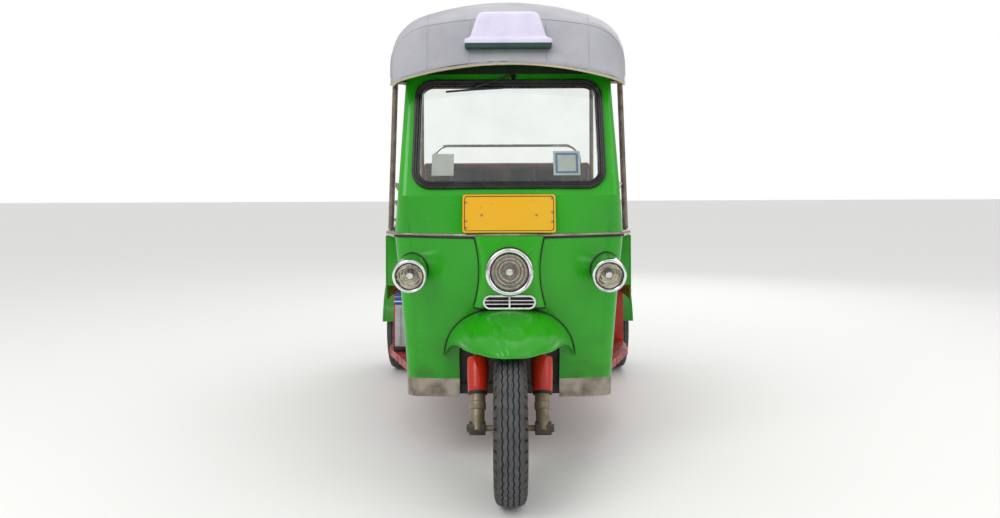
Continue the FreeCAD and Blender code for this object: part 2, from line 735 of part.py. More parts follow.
def header_panel():
    """A dark panel that closes the gap between the cab header and the front of the roof."""
    half, front = D.header_panel_half_width, station(HEADER_SECTION[2] + 1)
    low = D.header_height + D.seat_gap
    keep(block("header_panel_box", (-half, half), (front, front + D.header_panel_thickness),
               (low, low + D.header_panel_height)), "header_panel")


def roof_frame():
    """Edge rails, hoops, posts and the feet on the cab header, welded together."""
    pieces = []
    for side in (-1, 1):
        ends = [rail_point(index, side) for index in range(len(ROOF_SECTIONS) - 1)]
        ends[-1] += (ends[-1] - ends[-2]).normalize() * D.rail_overhang.value
        pieces.append(rod(ends, D.rail_radius, 200))
        foot = belt_point(D.middle_post_station.value)
        low = Vector(side * foot.x, foot.y, foot.z + (D.belt_rail_radius + D.seat_gap).value)
        sink = Vector(0, 0, D.post_sink.value)
        pieces.append(rod([low, rail_point(3, side) - sink], D.post_radius))
        top = rail_point(5, side) - sink
        rear_x = (D.tub_half_width - D.post_radius - D.post_gap).value
        low = at(side * rear_x, station(D.rear_post_station), D.rear_floor_height + D.seat_gap)
        pieces.append(rod([low, top], D.post_radius))
        pieces.extend(header_foot(side))
    pieces.extend(hoop(index) for index in HOOPS)
    return pieces[0].multiFuse(pieces[1:])


def roof_sign():
    """A blank trapezoid sign standing on the front of the roof."""
    low, high = D.sign_bottom.value, D.sign_bottom.value + D.sign_height.value
    front = number(station(D.sign_station)) - D.sign_depth.value / 2
    corners = [(-D.sign_base_width.value / 2, low), (D.sign_base_width.value / 2, low),
               (D.sign_top_width.value / 2, high), (-D.sign_top_width.value / 2, high)]
    face = Part.Face(Part.makePolygon([Vector(x, front, z) for x, z in corners + corners[:1]]))
    sign = face.extrude(Vector(0, D.sign_depth.value, 0))
    cover = roof_volume()
    cover.translate(Vector(0, -D.seat_gap.value, D.seat_gap.value))
    return sign.cut(cover)


# Side guards: belt rail, three guard tubes with a round rear end, and C scrolls


def pillar_point(height):
    """A point just behind the cab pillar's edge at a height, in line with its side wall."""
    share = (height - D.belt_height.value) / (D.scuttle_height - D.belt_height).value
    half_width = SHELL_SECTIONS[-1][1] + share * (SCUTTLE_SECTION[1] - SHELL_SECTIONS[-1][1])
    back = D.cab_side_end.value + share * (SCUTTLE_SECTION[5] - D.cab_side_end.value)
    return at(half_width - D.shell_wall / 2, station(back + D.guard_end_gap), height)


def guard_point(distance, height):
    """A point of a guard tube at a height over the belt rail, inside the middle post."""
    base = belt_point(distance)
    inside = D.post_radius.value + D.guard_tube_radius.value + D.guard_gap.value
    return Vector(base.x - inside, base.y, base.z + height)


def scroll(middle, radius, thickness, turn):
    """A C scroll of flat strip in a plane along the vehicle's side."""
    across, back = Vector(1, 0, 0), middle - Vector(thickness, 0, 0)
    disc = Part.makeCylinder(radius + thickness, 2 * thickness, back, across, 250)
    ring = disc.cut(Part.makeCylinder(radius - thickness, 2 * thickness, back, across))
    ring.rotate(middle, across, turn)
    return ring


def side_guards():
    """The rails between the cab and the passenger entry, the same on both sides."""
    spacing = D.guard_spacing.value
    front, knee = D.cab_side_end.value, D.side_box_front.value
    rear = D.entry_front.value
    belt = rod([belt_point(front + D.guard_end_gap.value), belt_point(knee), belt_point(rear)],
               D.belt_rail_radius, 160)
    levels = [60, 60 + spacing, 60 + 2 * spacing]
    tubes = []
    starts = [pillar_point(D.belt_height.value + rise) for rise in (36, 88, 140)]
    loop = [starts[0], guard_point(knee, levels[0]), guard_point(rear, levels[0]),
            guard_point(rear, levels[2]), guard_point(knee, levels[2]), starts[2]]
    tubes.append(rod(loop, D.guard_tube_radius, 36))
    tubes.append(rod([starts[1], guard_point(knee, levels[1]), guard_point(rear, levels[1])],
                     D.guard_tube_radius, 36))
    scrolls = [scroll(guard_point(place_at, levels[0] + spacing * level), spacing / 2 - 7, 4, turn)
               for place_at, level, turn in ((1130, 0.5, 55), (1130, 1.5, 235), (1210, 0.5, 235),
                                             (1210, 1.5, 55))]
    struts = []
    for distance in (D.middle_post_station.value + 60, rear - 70):
        struts.append(rod([belt_point(distance), guard_point(distance, levels[0])], 6))
    one = fused([belt] + tubes + scrolls + struts)
    return Part.makeCompound(both_sides(one))


# Floors and body sides


def cab_floor():
    """The pressed floor with its sides and back turned down, wider behind the cab."""
    body = doc.addObject("PartDesign::Body", "cab_floor_body")

    def corners(inset, front_inset):
        front, back = station(D.floor_front + front_inset), station(D.riser_station - inset)
        cab, wide = D.cab_floor_half_width - inset, D.step_half_width - inset
        knee, step = station(D.cab_side_end), station(D.step_station)
        return [(-cab, front), (cab, front), (cab, knee), (wide, step), (wide, back),
                (-wide, back), (-wide, step), (-cab, knee)]

    pad = body.newObject("PartDesign::Pad", "cab_floor_pad")
    pad.Profile = sketch_on(body, "XY_Plane", corners(size(0), size(0)))
    bind(pad, Length=D.floor_edge)
    pad.Reversed = True
    doc.recompute()
    pocket = body.newObject("PartDesign::Pocket", "cab_floor_pocket")
    inner = sketch_on(body, "XY_Plane", corners(D.floor_wall, -D.floor_wall))
    inner.AttachmentOffset = FreeCAD.Placement(Vector(0, 0, -D.floor_wall.value), FreeCAD.Rotation())
    inner.setExpression("AttachmentOffset.Base.z", f"-{D.floor_wall.formula}")
    pocket.Profile = inner
    pocket.Type = "Length"
    bind(pocket, Length=D.floor_edge)
    doc.recompute()
    hatch = body.newObject("PartDesign::Pocket", "cab_floor_hatch")
    side = D.engine_width / 2 + D.engine_clearance
    hatch.Profile = sketch_on(body, "XY_Plane", rectangle(
        (-side, side), (station(D.driver_box_front) + D.seat_wall, station(D.riser_station + D.floor_edge))))
    bind(hatch, Length=2 * D.floor_edge)
    place(body, z=D.floor_height)
    keep(body, "cab_floor")


def rear_floor():
    """The raised passenger floor with its riser."""
    depth = D.rear_floor_height
    body = doc.addObject("PartDesign::Body", "rear_floor_body")
    pad = body.newObject("PartDesign::Pad", "rear_floor_pad")
    front, back = station(D.riser_station), station(D.tub_end)
    pad.Profile = sketch_on(body, "YZ_Plane", [
        (front, D.floor_height - D.floor_edge), (front + D.rear_floor_wall, D.floor_height - D.floor_edge),
        (front + D.rear_floor_wall, depth - D.rear_floor_wall), (back, depth - D.rear_floor_wall),
        (back, depth), (front, depth)])
    bind(pad, Length=2 * D.tub_half_width)
    pad.Midplane = True
    doc.recompute()
    slot = body.newObject("PartDesign::Pocket", "rear_floor_slot")
    side = D.propshaft_radius + D.engine_clearance
    slot.Profile = sketch_on(body, "XZ_Plane", rectangle(
        (-side, side), (D.floor_height - 2 * D.floor_edge, D.shaft_height + side)))
    slot.Type = "ThroughAll"
    slot.Midplane = True
    keep(body, "rear_floor")


def side_panel(label, side, front, back, top):
    """A flat green panel outside the passenger floor."""
    inner = D.tub_half_width if side > 0 else -(D.tub_half_width + D.panel_wall)
    panel = block(f"{label}_box", (inner, inner + D.panel_wall), (station(front), station(back)),
                  (D.panel_bottom, top))
    keep(panel, label)


def rear_panel():
    """The panel across the back of the tub."""
    half = D.tub_half_width + D.panel_wall
    panel = block("rear_panel_box", (-half, half), (station(D.tub_end), station(D.tub_end) + D.panel_wall),
                  (D.panel_bottom - D.rear_panel_drop, D.rear_panel_top))
    keep(panel, "rear_panel")


def rear_fenders():
    """Arched guards over the outer half of the rear wheels, with a turned edge."""
    reach = (D.rear_tyre_radius + D.fender_gap).value
    wall = D.fender_wall.value
    inner_x = (D.tub_half_width + D.panel_wall).value
    middle = at(inner_x, station(D.wheelbase), D.rear_tyre_radius)
    width = 2 * D.fender_half_width.value
    band = Part.makeCylinder(reach + wall, width, middle, Vector(1, 0, 0)).cut(
        Part.makeCylinder(reach, width, middle, Vector(1, 0, 0)))
    edge_x = middle + Vector(width - wall, 0, 0)
    edge = Part.makeCylinder(reach + wall, wall, edge_x, Vector(1, 0, 0)).cut(
        Part.makeCylinder(reach - 18, wall, edge_x, Vector(1, 0, 0)))
    low = Part.makeBox(3 * width, 3 * reach, 2 * reach,
                       middle + Vector(-width, -1.5 * reach, -2 * reach + 55))
    return Part.makeCompound(both_sides(band.fuse(edge).removeSplitter().cut(low)))


# Seats


def seat_base():
    """The box under the passenger seat, open below and behind."""
    front, back = station(D.seat_front), station(D.seat_front + D.seat_depth)
    half = D.tub_half_width - D.seat_gap
    top = D.rear_floor_height + D.seat_base_height
    outer = block("seat_base_outer", (-half, half), (front, back), (D.rear_floor_height, top))
    wall = D.seat_wall
    inner = block("seat_base_inner", (-(half - wall), half - wall), (front + wall, back + wall),
                  (D.rear_floor_height - wall, top - wall))
    base = doc.addObject("Part::Cut", "seat_base_cut")
    base.Base = outer
    base.Tool = inner
    keep(base, "seat_base")


def cushion(label, x, y, z, radius):
    """A soft block with rounded edges."""
    box = Part.makeBox(number(x[1] - size(x[0])), number(y[1] - size(y[0])), number(z[1] - size(z[0])))
    soft = box.makeFillet(radius, box.Edges)
    thing = feature(f"{label}_body", soft)
    place(thing, x[0], y[0], z[0])
    return keep(thing, label)


def seats():
    half = D.cushion_half_width
    low = D.rear_floor_height + D.seat_base_height + D.seat_gap
    back = station(D.seat_front + D.seat_depth)
    cushion("seat_cushion", (-half, half), (station(D.seat_front) - 15, back - 15),
            (low, low + D.cushion_height), 28)
    rest = cushion("seat_backrest", (-half + 8, half - 8), (back + 10, back + 10 + D.backrest_thickness),
                   (low + 40, low + 40 + D.backrest_height), 30)
    rest.Placement = FreeCAD.Placement(at(-half + 8, back + 0, low + 20),
                                       FreeCAD.Rotation(Vector(1, 0, 0), -D.backrest_lean.value))
    place(rest, -half + 8, back + 0, low + 20, (1, 0, 0), -D.backrest_lean)
    front = station(D.driver_box_front)
    depth, wide = D.driver_box_depth, D.driver_box_half_width
    top = D.floor_height + D.driver_box_height
    outer = block("driver_box_outer", (-wide, wide), (front, front + depth), (D.floor_height, top))
    wall = D.seat_wall
    inner = block("driver_box_inner", (-(wide - wall), wide - wall), (front + wall, front + depth + wall),
                  (D.floor_height - wall, top - wall))
    box = doc.addObject("Part::Cut", "driver_box_cut")
    box.Base = outer
    box.Tool = inner
    keep(box, "driver_seat_box")
    low = top + D.seat_gap
    cushion("driver_cushion", (-wide + 20, wide - 20), (front - 10, front + depth - 20),
            (low, low + D.driver_cushion_height), 24)
    cushion("driver_backrest", (-wide + 30, wide - 30), (front + depth - 18, front + depth + 42),
            (low + 30, low + 30 + D.driver_back_height), 24)


def backrest_rail():
    """A bright hoop behind and above the passenger backrest."""
    half = D.cushion_half_width.value - 70
    low = at(half, station(D.tub_end) - D.backrest_rail_inset, D.rear_floor_height)
    high = low + Vector(0, 0, 760)
    points = [Vector(-low.x, low.y, low.z), Vector(-high.x, high.y, high.z), high, low]
    return rod(points, 10, 90)


def scroll_panels():
    """Sloping ornamental frames above the rear body sides: an outline tube with C scrolls in it."""
    x = D.tub_half_width.value + D.panel_wall.value / 2
    front, back = number(station(D.entry_rear + 20)), number(station(D.rear_post_station - 60))
    base = D.rear_panel_top.value
    tube = 5
    low, high = Vector(x, front, base + tube), Vector(x, back, base + tube)
    outline = [low, Vector(x, front + 60, base + 90), Vector(x, back - 70, base + 290),
               Vector(x, back, base + 250), high]
    pieces = [rod(outline, tube, 30), rod([low, high], tube)]
    for share, rise, radius, turn in ((0.22, 62, 30, 40), (0.45, 78, 40, 200), (0.45, 150, 26, 20),
                                      (0.68, 92, 46, 60), (0.70, 185, 36, 20), (0.88, 120, 34, 0)):
        middle = Vector(x, front + share * (back - front), base + rise)
        pieces.append(scroll(middle, radius, 4, turn))
        foot = Vector(x, middle.y, base)
        pieces.append(rod([foot, middle - Vector(0, 0, radius)], 3.5))
    return Part.makeCompound(both_sides(fused(pieces)))


# Frame, engine, axle and springs


def steering_point(run, forward=0, x=0):
    """A point on the steering axis at a run up from the axle's level, moved forwards across it."""
    lean = math.radians(D.steering_rake.value)
    up = Vector(0, math.sin(lean), math.cos(lean))
    ahead = Vector(0, -math.cos(lean), math.sin(lean))
    axle = at(0, D.front_axle_y, D.front_tyre_radius)
    return axle - ahead * D.fork_offset.value + up * number(run) + ahead * number(forward) + Vector(x, 0, 0)


def chassis_frame():
    """Two rails that rise over the rear axle, cross members, and the neck with the head tube."""
    half, wide, deep = D.rail_half_spacing.value, D.rail_width.value, D.rail_depth.value
    top_front = (D.floor_height - D.floor_wall).value
    top_rear = (D.rear_floor_height - D.rear_floor_wall).value
    riser = number(station(D.riser_station))
    kick = D.kick_up_length.value
    front, back = number(station(410)), number(station(D.tub_end)) - 1
    gap = D.rear_floor_wall.value + 1
    outline = [(front, top_front), (riser - 12, top_front), (riser - 12, top_front - deep * 0.5),
               (riser + gap, top_front - deep * 0.5), (riser + gap, top_rear), (back, top_rear),
               (back, top_rear - deep), (riser + kick, top_rear - deep),
               (riser + kick - 40, top_front - deep), (front, top_front - deep)]
    wire = Part.makePolygon([Vector(half - wide / 2, y, z) for y, z in outline + outline[:1]])
    rail = Part.Face(wire).extrude(Vector(wide, 0, 0))
    pieces = both_sides(rail)
    # Cross members: station, height of the top, depth
    mount = D.engine_mount_height.value
    engine_front = (D.driver_box_front + D.engine_clearance).value
    for distance, top, depth in ((410, top_front, deep), (700, top_front - 20, 40),
                                 (engine_front + 30, top_front - deep + mount - D.seat_gap.value, mount),
                                 (engine_front + 230, top_front - deep + mount - D.seat_gap.value, mount),
                                 (1200, top_rear - 8, 40), (1650, top_rear - 8, 40),
                                 (D.tub_end.value - 45, top_rear, deep)):
        pieces.append(Part.makeBox(2 * half, 42, depth, at(-half, station(distance), top - depth)))
    low, high = steering_point(D.head_tube_start), steering_point(D.head_tube_start + D.head_tube_length)
    pieces.append(rod([low, high], D.head_tube_radius))
    neck = steering_point(D.head_tube_start + D.head_tube_length * 0.55)
    for side in (-1, 1):
        foot = Vector(side * half, front + 21, top_front - 10)
        pieces.append(rod([neck, foot], 19))
        pieces.append(rod([high + (neck - high) * 0.3, Vector(side * half / 2, front + 21,
                                                              top_front - 40)], 15))
    bore = rod([steering_point(D.head_tube_start - 10),
                steering_point(D.head_tube_start + D.head_tube_length + 10)],
               D.stem_radius + D.running_fit)
    thick, reach = D.tow_eye_thickness.value, D.tow_eye_reach.value
    low = D.panel_bottom - D.rear_panel_drop - D.tow_eye_drop - thick
    eye = at(0, station(D.tub_end + D.panel_wall) + reach / 2, low)
    tab = Part.makeBox(reach * 1.6, 2 * reach, thick, eye + Vector(-reach * 0.8, -reach * 1.5, 0))
    web = Part.makeBox(thick, 24, top_rear - deep + 4 - eye.z, eye + Vector(-thick / 2, -reach * 1.5, 0))
    hole = Part.makeCylinder(D.tow_eye_radius.value, 3 * thick, eye - Vector(0, 0, thick))
    return fused(pieces + [tab, web]).cut(bore).cut(hole)


def engine_block():
    """The engine as one plain block under the driver's seat."""
    half = D.engine_width / 2
    front = station(D.driver_box_front + D.engine_clearance)
    low = D.floor_height - D.floor_wall - D.rail_depth + D.engine_mount_height
    block_body = block("engine_block_box", (-half, half), (front, front + D.engine_length),
                       (low, low + D.engine_height))
    return block_body


def rear_axle():
    """The axle tube with the differential and a flange at each end."""
    middle = at(0, station(D.wheelbase), D.rear_tyre_radius)
    face = (D.rear_track - D.rear_hub_length).value / 2
    tube = Part.makeCylinder(D.axle_tube_radius.value, 2 * face - 20, middle - Vector(face - 10, 0, 0),
                             Vector(1, 0, 0))
    shaft_reach = face + D.rear_hub_length.value + 14
    shaft = Part.makeCylinder(D.rear_axle_radius.value, 2 * shaft_reach,
                              middle - Vector(shaft_reach, 0, 0), Vector(1, 0, 0))
    ball = Part.makeSphere(D.differential_radius.value, middle, Vector(1, 0, 0))
    nose = Part.makeCylinder(44, 150, middle, Vector(0, -1, 0))
    return fused([tube, shaft, ball, nose])


def leaf_springs():
    """A leaf pack over the axle tube on each side, with its U plate and end hangers."""
    half = D.rail_half_spacing.value
    wide, leaf = D.spring_width.value, D.spring_leaf.value
    axle = at(half, station(D.wheelbase), D.rear_tyre_radius + D.axle_tube_radius)
    pieces = []
    for index in range(int(D.spring_leaves.value)):
        reach = D.spring_half_length.value * (1 - 0.17 * index)
        sag = 46 * (reach / D.spring_half_length.value) ** 2
        level = axle.z + leaf * (D.spring_leaves.value - 1 - index)
        path_low = [Vector(axle.x, axle.y - reach, level + sag), Vector(axle.x, axle.y, level),
                    Vector(axle.x, axle.y + reach, level + sag)]
        path_high = [point + Vector(0, 0, leaf + 0.01) for point in path_low]
        face = Part.Face(Part.Wire([arc_through(*path_low), line(path_low[2], path_high[2]),
                                    arc_through(*reversed(path_high)), line(path_high[0], path_low[0])]))
        pieces.append(face.translated(Vector(-wide / 2, 0, 0)).extrude(Vector(wide, 0, 0)))
    top = (D.rear_floor_height - D.rear_floor_wall - D.rail_depth).value
    for way in (-1, 1):
        end_y = axle.y + way * (D.spring_half_length.value - 12)
        low = axle.z + leaf * D.spring_leaves.value + 30
        pieces.append(Part.makeBox(wide, 24, top - low - 0.3, Vector(axle.x - wide / 2, end_y - 12, low)))
    clamp = Part.makeBox(wide + 16, 90, 14, Vector(axle.x - wide / 2 - 8, axle.y - 45,
                                                   axle.z + leaf * D.spring_leaves.value - 2))
    one = fused(pieces + [clamp])
    tube = Part.makeCylinder(D.axle_tube_radius.value + 0.01, 200, axle - Vector(100, 0, D.axle_tube_radius.value),
                             Vector(1, 0, 0))
    return Part.makeCompound(both_sides(one.cut(tube)))


def propshaft():
    """The shaft from the back of the engine to the differential nose."""
    engine_back = station(D.driver_box_front + D.engine_clearance + D.engine_length)
    start = at(0, engine_back, D.shaft_height)
    end = at(0, station(D.wheelbase) - 150, D.rear_tyre_radius)
    return fused([rod([start, end], D.propshaft_radius)]).cut(
        Part.makeBox(400, 400, 400, Vector(-200, end.y - 0.3, end.z - 200))).cut(
        Part.makeBox(400, 400, 400, Vector(-200, start.y - 399.7, start.z - 200)))


def exhaust():
    """A silencer on the right under the tub with its tail pipe, hung from the rail."""
    x = -(D.rail_half_spacing.value - 130)
    y = number(station(1330))
    z = 380.0
    can = Part.makeCylinder(D.exhaust_radius.value, D.exhaust_length.value, Vector(x, y, z), Vector(0, 1, 0))
    radius = D.tail_pipe_radius.value
    inlet = rod([Vector(x, y + 5, z), Vector(x, y - 120, z)], radius)
    end_y = y + D.exhaust_length.value
    back = number(station(D.tub_end)) + 60
    over = rod([Vector(x, end_y - 5, z), Vector(x, end_y + 90, z), Vector(x, end_y + 200, z + 80),
                Vector(x, back - 200, z + 80), Vector(x, back, z - 20)], radius, 60)
    top = (D.rear_floor_height - D.rear_floor_wall).value
    hanger = Part.makeBox(20, 16, top - z - 0.3, Vector(x - 10, y + 180, z))
    rear_hanger = Part.makeBox(14, 14, top - z - 80 - 0.3, Vector(x - 7, end_y + 330, z + 80))
    return fused([can, inlet, over, hanger, rear_hanger])


# Wheels


def tyre_profile(radius, width, rim_radius):
    """Half-round section from bead to bead over the tread."""
    bead = width / 2 - D.bead_inset
    lip = rim_radius + D.rim_flange + D.seat_gap
    shoulder = radius - width * 0.17
    belly = rim_radius + (radius - rim_radius) * 0.45
    tread = width / 2 - D.shoulder_width
    return [(-bead, rim_radius), (bead, rim_radius), (bead, lip), (width / 2, belly),
            (width / 2 - 8, shoulder), (tread, radius), (-tread, radius),
            (-(width / 2 - 8), shoulder), (-(width / 2), belly), (-bead, lip)]


def rim_profile(width, rim_radius, hub_length, bore, dish):
    """A pressed wheel: hub, dished disc and rim well with flanges, bored for its axle."""
    bead = width / 2 - D.bead_inset + D.seat_gap
    wall, flange = D.rim_wall, D.rim_flange
    hub, half = D.hub_radius, hub_length / 2
    disc = D.disc_wall / 2
    well = rim_radius - 0.3
    return [(-half, bore), (half, bore), (half, hub), (disc + dish, hub + 8),
            (disc + dish, well - wall * 4), (disc, well - wall), (bead, well - wall),
            (bead + wall, well + flange), (bead, well + flange), (bead - 0.01, well),
            (-bead + 0.01, well), (-bead, well + flange), (-bead - wall, well + flange),
            (-bead, well - wall), (-disc, well - wall), (-disc + dish, well - wall * 4),
            (-disc + dish, hub + 8), (-half, hub)]


def wheel(name, x, y, radius, width, rim_radius, hub_length, axle_radius, dish):
    """A tyre and its pressed rim about one axle."""
    tyre = turned(f"{name}_tyre_body", tyre_profile(radius, width, rim_radius))
    rim = turned(f"{name}_rim_body", rim_profile(width, rim_radius, hub_length,
                                                 axle_radius + D.running_fit, dish))
    for body, kind in ((tyre, "tyre"), (rim, "rim")):
        place(body, x, y, radius)
        keep(body, f"{name}_{kind}")
    return tyre, rim


def wheels():
    half_track = D.rear_track / 2
    wheel("front", size(0), D.front_axle_y, D.front_tyre_radius, D.front_tyre_width,
          D.front_rim_radius, D.front_hub_length, D.front_axle_radius, size(0))
    for name, side in (("rear_left", 1), ("rear_right", -1)):
        wheel(name, half_track * side, station(D.wheelbase), D.rear_tyre_radius, D.rear_tyre_width,
              D.rear_rim_radius, D.rear_hub_length, D.rear_axle_radius, size(14 * side))


# Fork and handlebar, about the raked steering axis


def fork_yoke():
    """The arch over the tyre between the upper tubes, and the stem that turns in the head tube."""
    low = (D.yoke_run - D.yoke_depth).value
    crown, top = low + D.yoke_bar_radius.value, D.fork_top_run.value
    reach, offset = D.fork_half_spacing.value, D.fork_offset.value
    stem = rod([steering_point(low), steering_point(D.stem_top_run)], D.stem_radius)
    arch = rod([steering_point(top + 2, offset, -reach), steering_point(crown, offset, -reach),
                steering_point(crown, offset, reach), steering_point(top + 2, offset, reach)],
               D.yoke_bar_radius, 36)
    lean = FreeCAD.Rotation(Vector(1, 0, 0), -D.steering_rake.value)
    web = Part.makeBox(70, offset + 20, D.yoke_depth.value)
    web.Placement = FreeCAD.Placement(steering_point(low, offset, -35), lean)
    sleeves = [rod([steering_point(top - D.sleeve_length.value, offset, side * reach),
                    steering_point(top + 6, offset, side * reach)], D.fork_upper_radius + 5)
               for side in (-1, 1)]
    seats = fork_tube_set(-5, top, D.fork_upper_radius)
    return fused([stem, arch, web] + sleeves).cut(Part.makeCompound(seats))


def fork_tube_set(start, end, radius):
    offset = D.fork_offset.value
    reach = D.fork_half_spacing.value
    return [rod([steering_point(start, offset, side * reach), steering_point(end, offset, side * reach)],
                radius) for side in (-1, 1)]


def fork_uppers():
    tubes = fork_tube_set(D.fork_joint_run.value, D.fork_top_run.value, D.fork_upper_radius)
    return Part.makeCompound(tubes)


def fork_lowers():
    """Lower legs with the axle lugs, and the axle between them."""
    legs = fork_tube_set(-8, D.fork_joint_run.value, D.fork_lower_radius)
    reach = D.fork_half_spacing.value + 34
    middle = at(0, D.front_axle_y, D.front_tyre_radius)
    axle = Part.makeCylinder(D.front_axle_radius.value, 2 * reach, middle - Vector(reach, 0, 0), Vector(1, 0, 0))
    lugs = [Part.makeCylinder(22, 52, middle + Vector(side * D.fork_half_spacing.value - 26, 0, 0),
                              Vector(1, 0, 0)) for side in (-1, 1)]
    return fused(legs + [axle] + lugs)


def handlebar():
    """A swept bar clamped on the stem, with a grip at each end."""
    run = D.stem_top_run.value + 14
    half, sweep = D.handlebar_half_width.value, D.handlebar_sweep.value
    points = [steering_point(run - 10, -sweep, -half), steering_point(run, 0, -130),
              steering_point(run, 0, 130), steering_point(run - 10, -sweep, half)]
    bar = rod(points, D.handlebar_radius, 60)
    grips = []
    for end, inner in ((points[0], points[1]), (points[3], points[2])):
        way = (inner - end).normalize()
        grips.append(rod([end, end + way * D.grip_length.value], D.grip_radius))
    clamp = rod([steering_point(D.stem_top_run), steering_point(run + 16)], 24)
    return fused([bar, clamp] + grips)


# Smaller fittings


def battery():
    """The battery on the step beside the driver, on the right side."""
    right = -D.battery_side
    front = station(D.battery_station)
    keep(block("battery_box_body", (right, right + D.battery_width), (front, front + D.battery_length),
               (D.floor_height, D.floor_height + D.battery_height)), "battery_box")


def tail_lamps():
    """Two round lamps on the rear panel."""
    lamps_found = []
    for side in (-1, 1):
        base = at(side * 440, station(D.tub_end + D.panel_wall), D.rear_panel_top - 70)
        lamps_found.append(Part.makeCylinder(42, 34, base, Vector(0, 1, 0)))
    return Part.makeCompound(lamps_found)


def rear_bumper():
    """A bright tube across the back on two arms from the rails."""
    half = D.bumper_half_width.value
    y = number(station(D.bumper_station))
    z = D.bumper_height.value
    bar = rod([Vector(-half, y - 90, z), Vector(-half + 60, y, z), Vector(half - 60, y, z),
               Vector(half, y - 90, z)], D.bumper_radius, 50)
    arms = []
    for side in (-1, 1):
        x = side * (D.rail_half_spacing.value - 80)
        start = Vector(x, number(station(D.tub_end)) - 24, z)
        arms.append(rod([start, Vector(x, y, z)], 14))
        top = (D.rear_floor_height - D.rear_floor_wall - D.rail_depth - D.seat_gap).value
        arms.append(Part.makeBox(36, 36, top - z + 16, start - Vector(18, 18, 16)))
    return fused([bar] + arms)


def wiper():
    """The wiper arm and blade, hung from the header over the pane."""
    middle = screen_placement()

    def on_pane(x, up, out):
        return middle.multVec(Vector(x, -out, up))

    half = D.screen_height.value / 2
    pivot = rod([on_pane(20, half + 14, D.seat_gap.value), on_pane(20, half + 14, 30)], 9)
    arm = rod([on_pane(20, half + 14, 24), on_pane(190, -20, 24)], 4)
    blade = rod([on_pane(110, 60, 16), on_pane(270, -120, 16)], 4)
    link = rod([on_pane(190, -20, 24), on_pane(190, -30, 16)], 4)
    return fused([pivot, arm, blade, link])


# Sub-parts built from ready shapes: label, maker
SHAPED = [
    ("chassis_frame", chassis_frame), ("front_shell", front_shell), ("nose_panel", nose_panel),
    ("front_mudguard", front_mudguard), ("sill_strip", sill_strip),
    ("windscreen_surround", windscreen_surround), ("dash_shelf", dash_shelf),
    ("nose_grille", nose_grille), ("number_plates", number_plates), ("roof_sign", roof_sign),
    ("roof_frame", roof_frame), ("canopy", canopy), ("side_guards", side_guards),
    ("rear_fenders", rear_fenders), ("backrest_rail", backrest_rail),
    ("scroll_panels", scroll_panels), ("rear_axle", rear_axle), ("leaf_springs", leaf_springs),
    ("propshaft", propshaft), ("exhaust", exhaust), ("tail_lamps", tail_lamps),
    ("rear_bumper", rear_bumper), ("wiper", wiper), ("fork_yoke", fork_yoke),
    ("fork_uppers", fork_uppers), ("fork_lowers", fork_lowers), ("handlebar", handlebar),
]
for label, maker in SHAPED:
    keep(feature(f"{label}_body", maker()), label)

windscreen()
lamps()
header_panel()
cab_floor()
rear_floor()
side_panel("side_panel_left_front", 1, D.side_box_front, D.entry_front, D.panel_top)
side_panel("side_panel_left_rear", 1, D.entry_rear, D.tub_end, D.rear_panel_top)
side_panel("side_panel_right", -1, D.side_box_front, D.tub_end, D.panel_top)
rear_panel()
seat_base()
seats()
keep(engine_block(), "engine_block")
wheels()
battery()

doc.recompute()
for thing in doc.Objects:
    if "Invalid" in thing.State or "Error" in thing.State:
        raise RuntimeError(f"{thing.Label} failed: {thing.State}")
for thing in PARTS:
    if thing.Shape.isNull() or not thing.Shape.isValid():
        raise RuntimeError(f"{thing.Label} has no valid shape")

os.makedirs("parts", exist_ok=True)
for thing in PARTS:
    thing.Shape.exportStep(f"parts/{thing.Label}.step")
    box = thing.Shape.BoundBox
    print(f"{thing.Label}: {len(thing.Shape.Solids)} solids, {thing.Shape.Volume / 1e6:.3f} litres, "
          f"x {box.XMin:.0f}..{box.XMax:.0f} y {box.YMin:.0f}..{box.YMax:.0f} z {box.ZMin:.0f}..{box.ZMax:.0f}")
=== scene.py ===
import math

import bmesh
import bpy
from mathutils import Matrix, Vector, noise
from mathutils.bvhtree import BVHTree


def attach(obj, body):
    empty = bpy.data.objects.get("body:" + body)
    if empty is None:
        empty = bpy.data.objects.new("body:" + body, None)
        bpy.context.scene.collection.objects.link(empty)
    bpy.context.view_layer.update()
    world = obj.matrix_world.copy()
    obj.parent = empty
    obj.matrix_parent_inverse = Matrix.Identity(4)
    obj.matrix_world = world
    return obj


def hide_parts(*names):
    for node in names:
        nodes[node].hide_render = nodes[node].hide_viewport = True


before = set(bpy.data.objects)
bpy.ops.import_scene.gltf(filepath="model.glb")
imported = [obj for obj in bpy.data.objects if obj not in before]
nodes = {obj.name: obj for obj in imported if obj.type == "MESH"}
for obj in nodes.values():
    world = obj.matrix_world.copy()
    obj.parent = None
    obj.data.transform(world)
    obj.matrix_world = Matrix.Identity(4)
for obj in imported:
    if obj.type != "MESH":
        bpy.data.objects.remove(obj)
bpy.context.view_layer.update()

MM = 0.001
WELD = 1e-6


# ---------------------------------------------------------------- materials

def linear(code):
    """An sRGB hex colour as linear RGBA."""
    values = [int(code[i:i + 2], 16) / 255 for i in (1, 3, 5)]
    return tuple(v / 12.92 if v <= 0.04045 else ((v + 0.055) / 1.055) ** 2.4 for v in values) + (1.0,)


def add(tree, kind, inputs=None, **settings):
    """Adds a node with its settings; an input is a value or another node's output."""
    made = tree.nodes.new("ShaderNode" + kind)
    for key, value in settings.items():
        setattr(made, key, value)
    for key, value in (inputs or {}).items():
        if isinstance(value, bpy.types.NodeSocket):
            tree.links.new(value, made.inputs[key])
        else:
            made.inputs[key].default_value = value
    return made


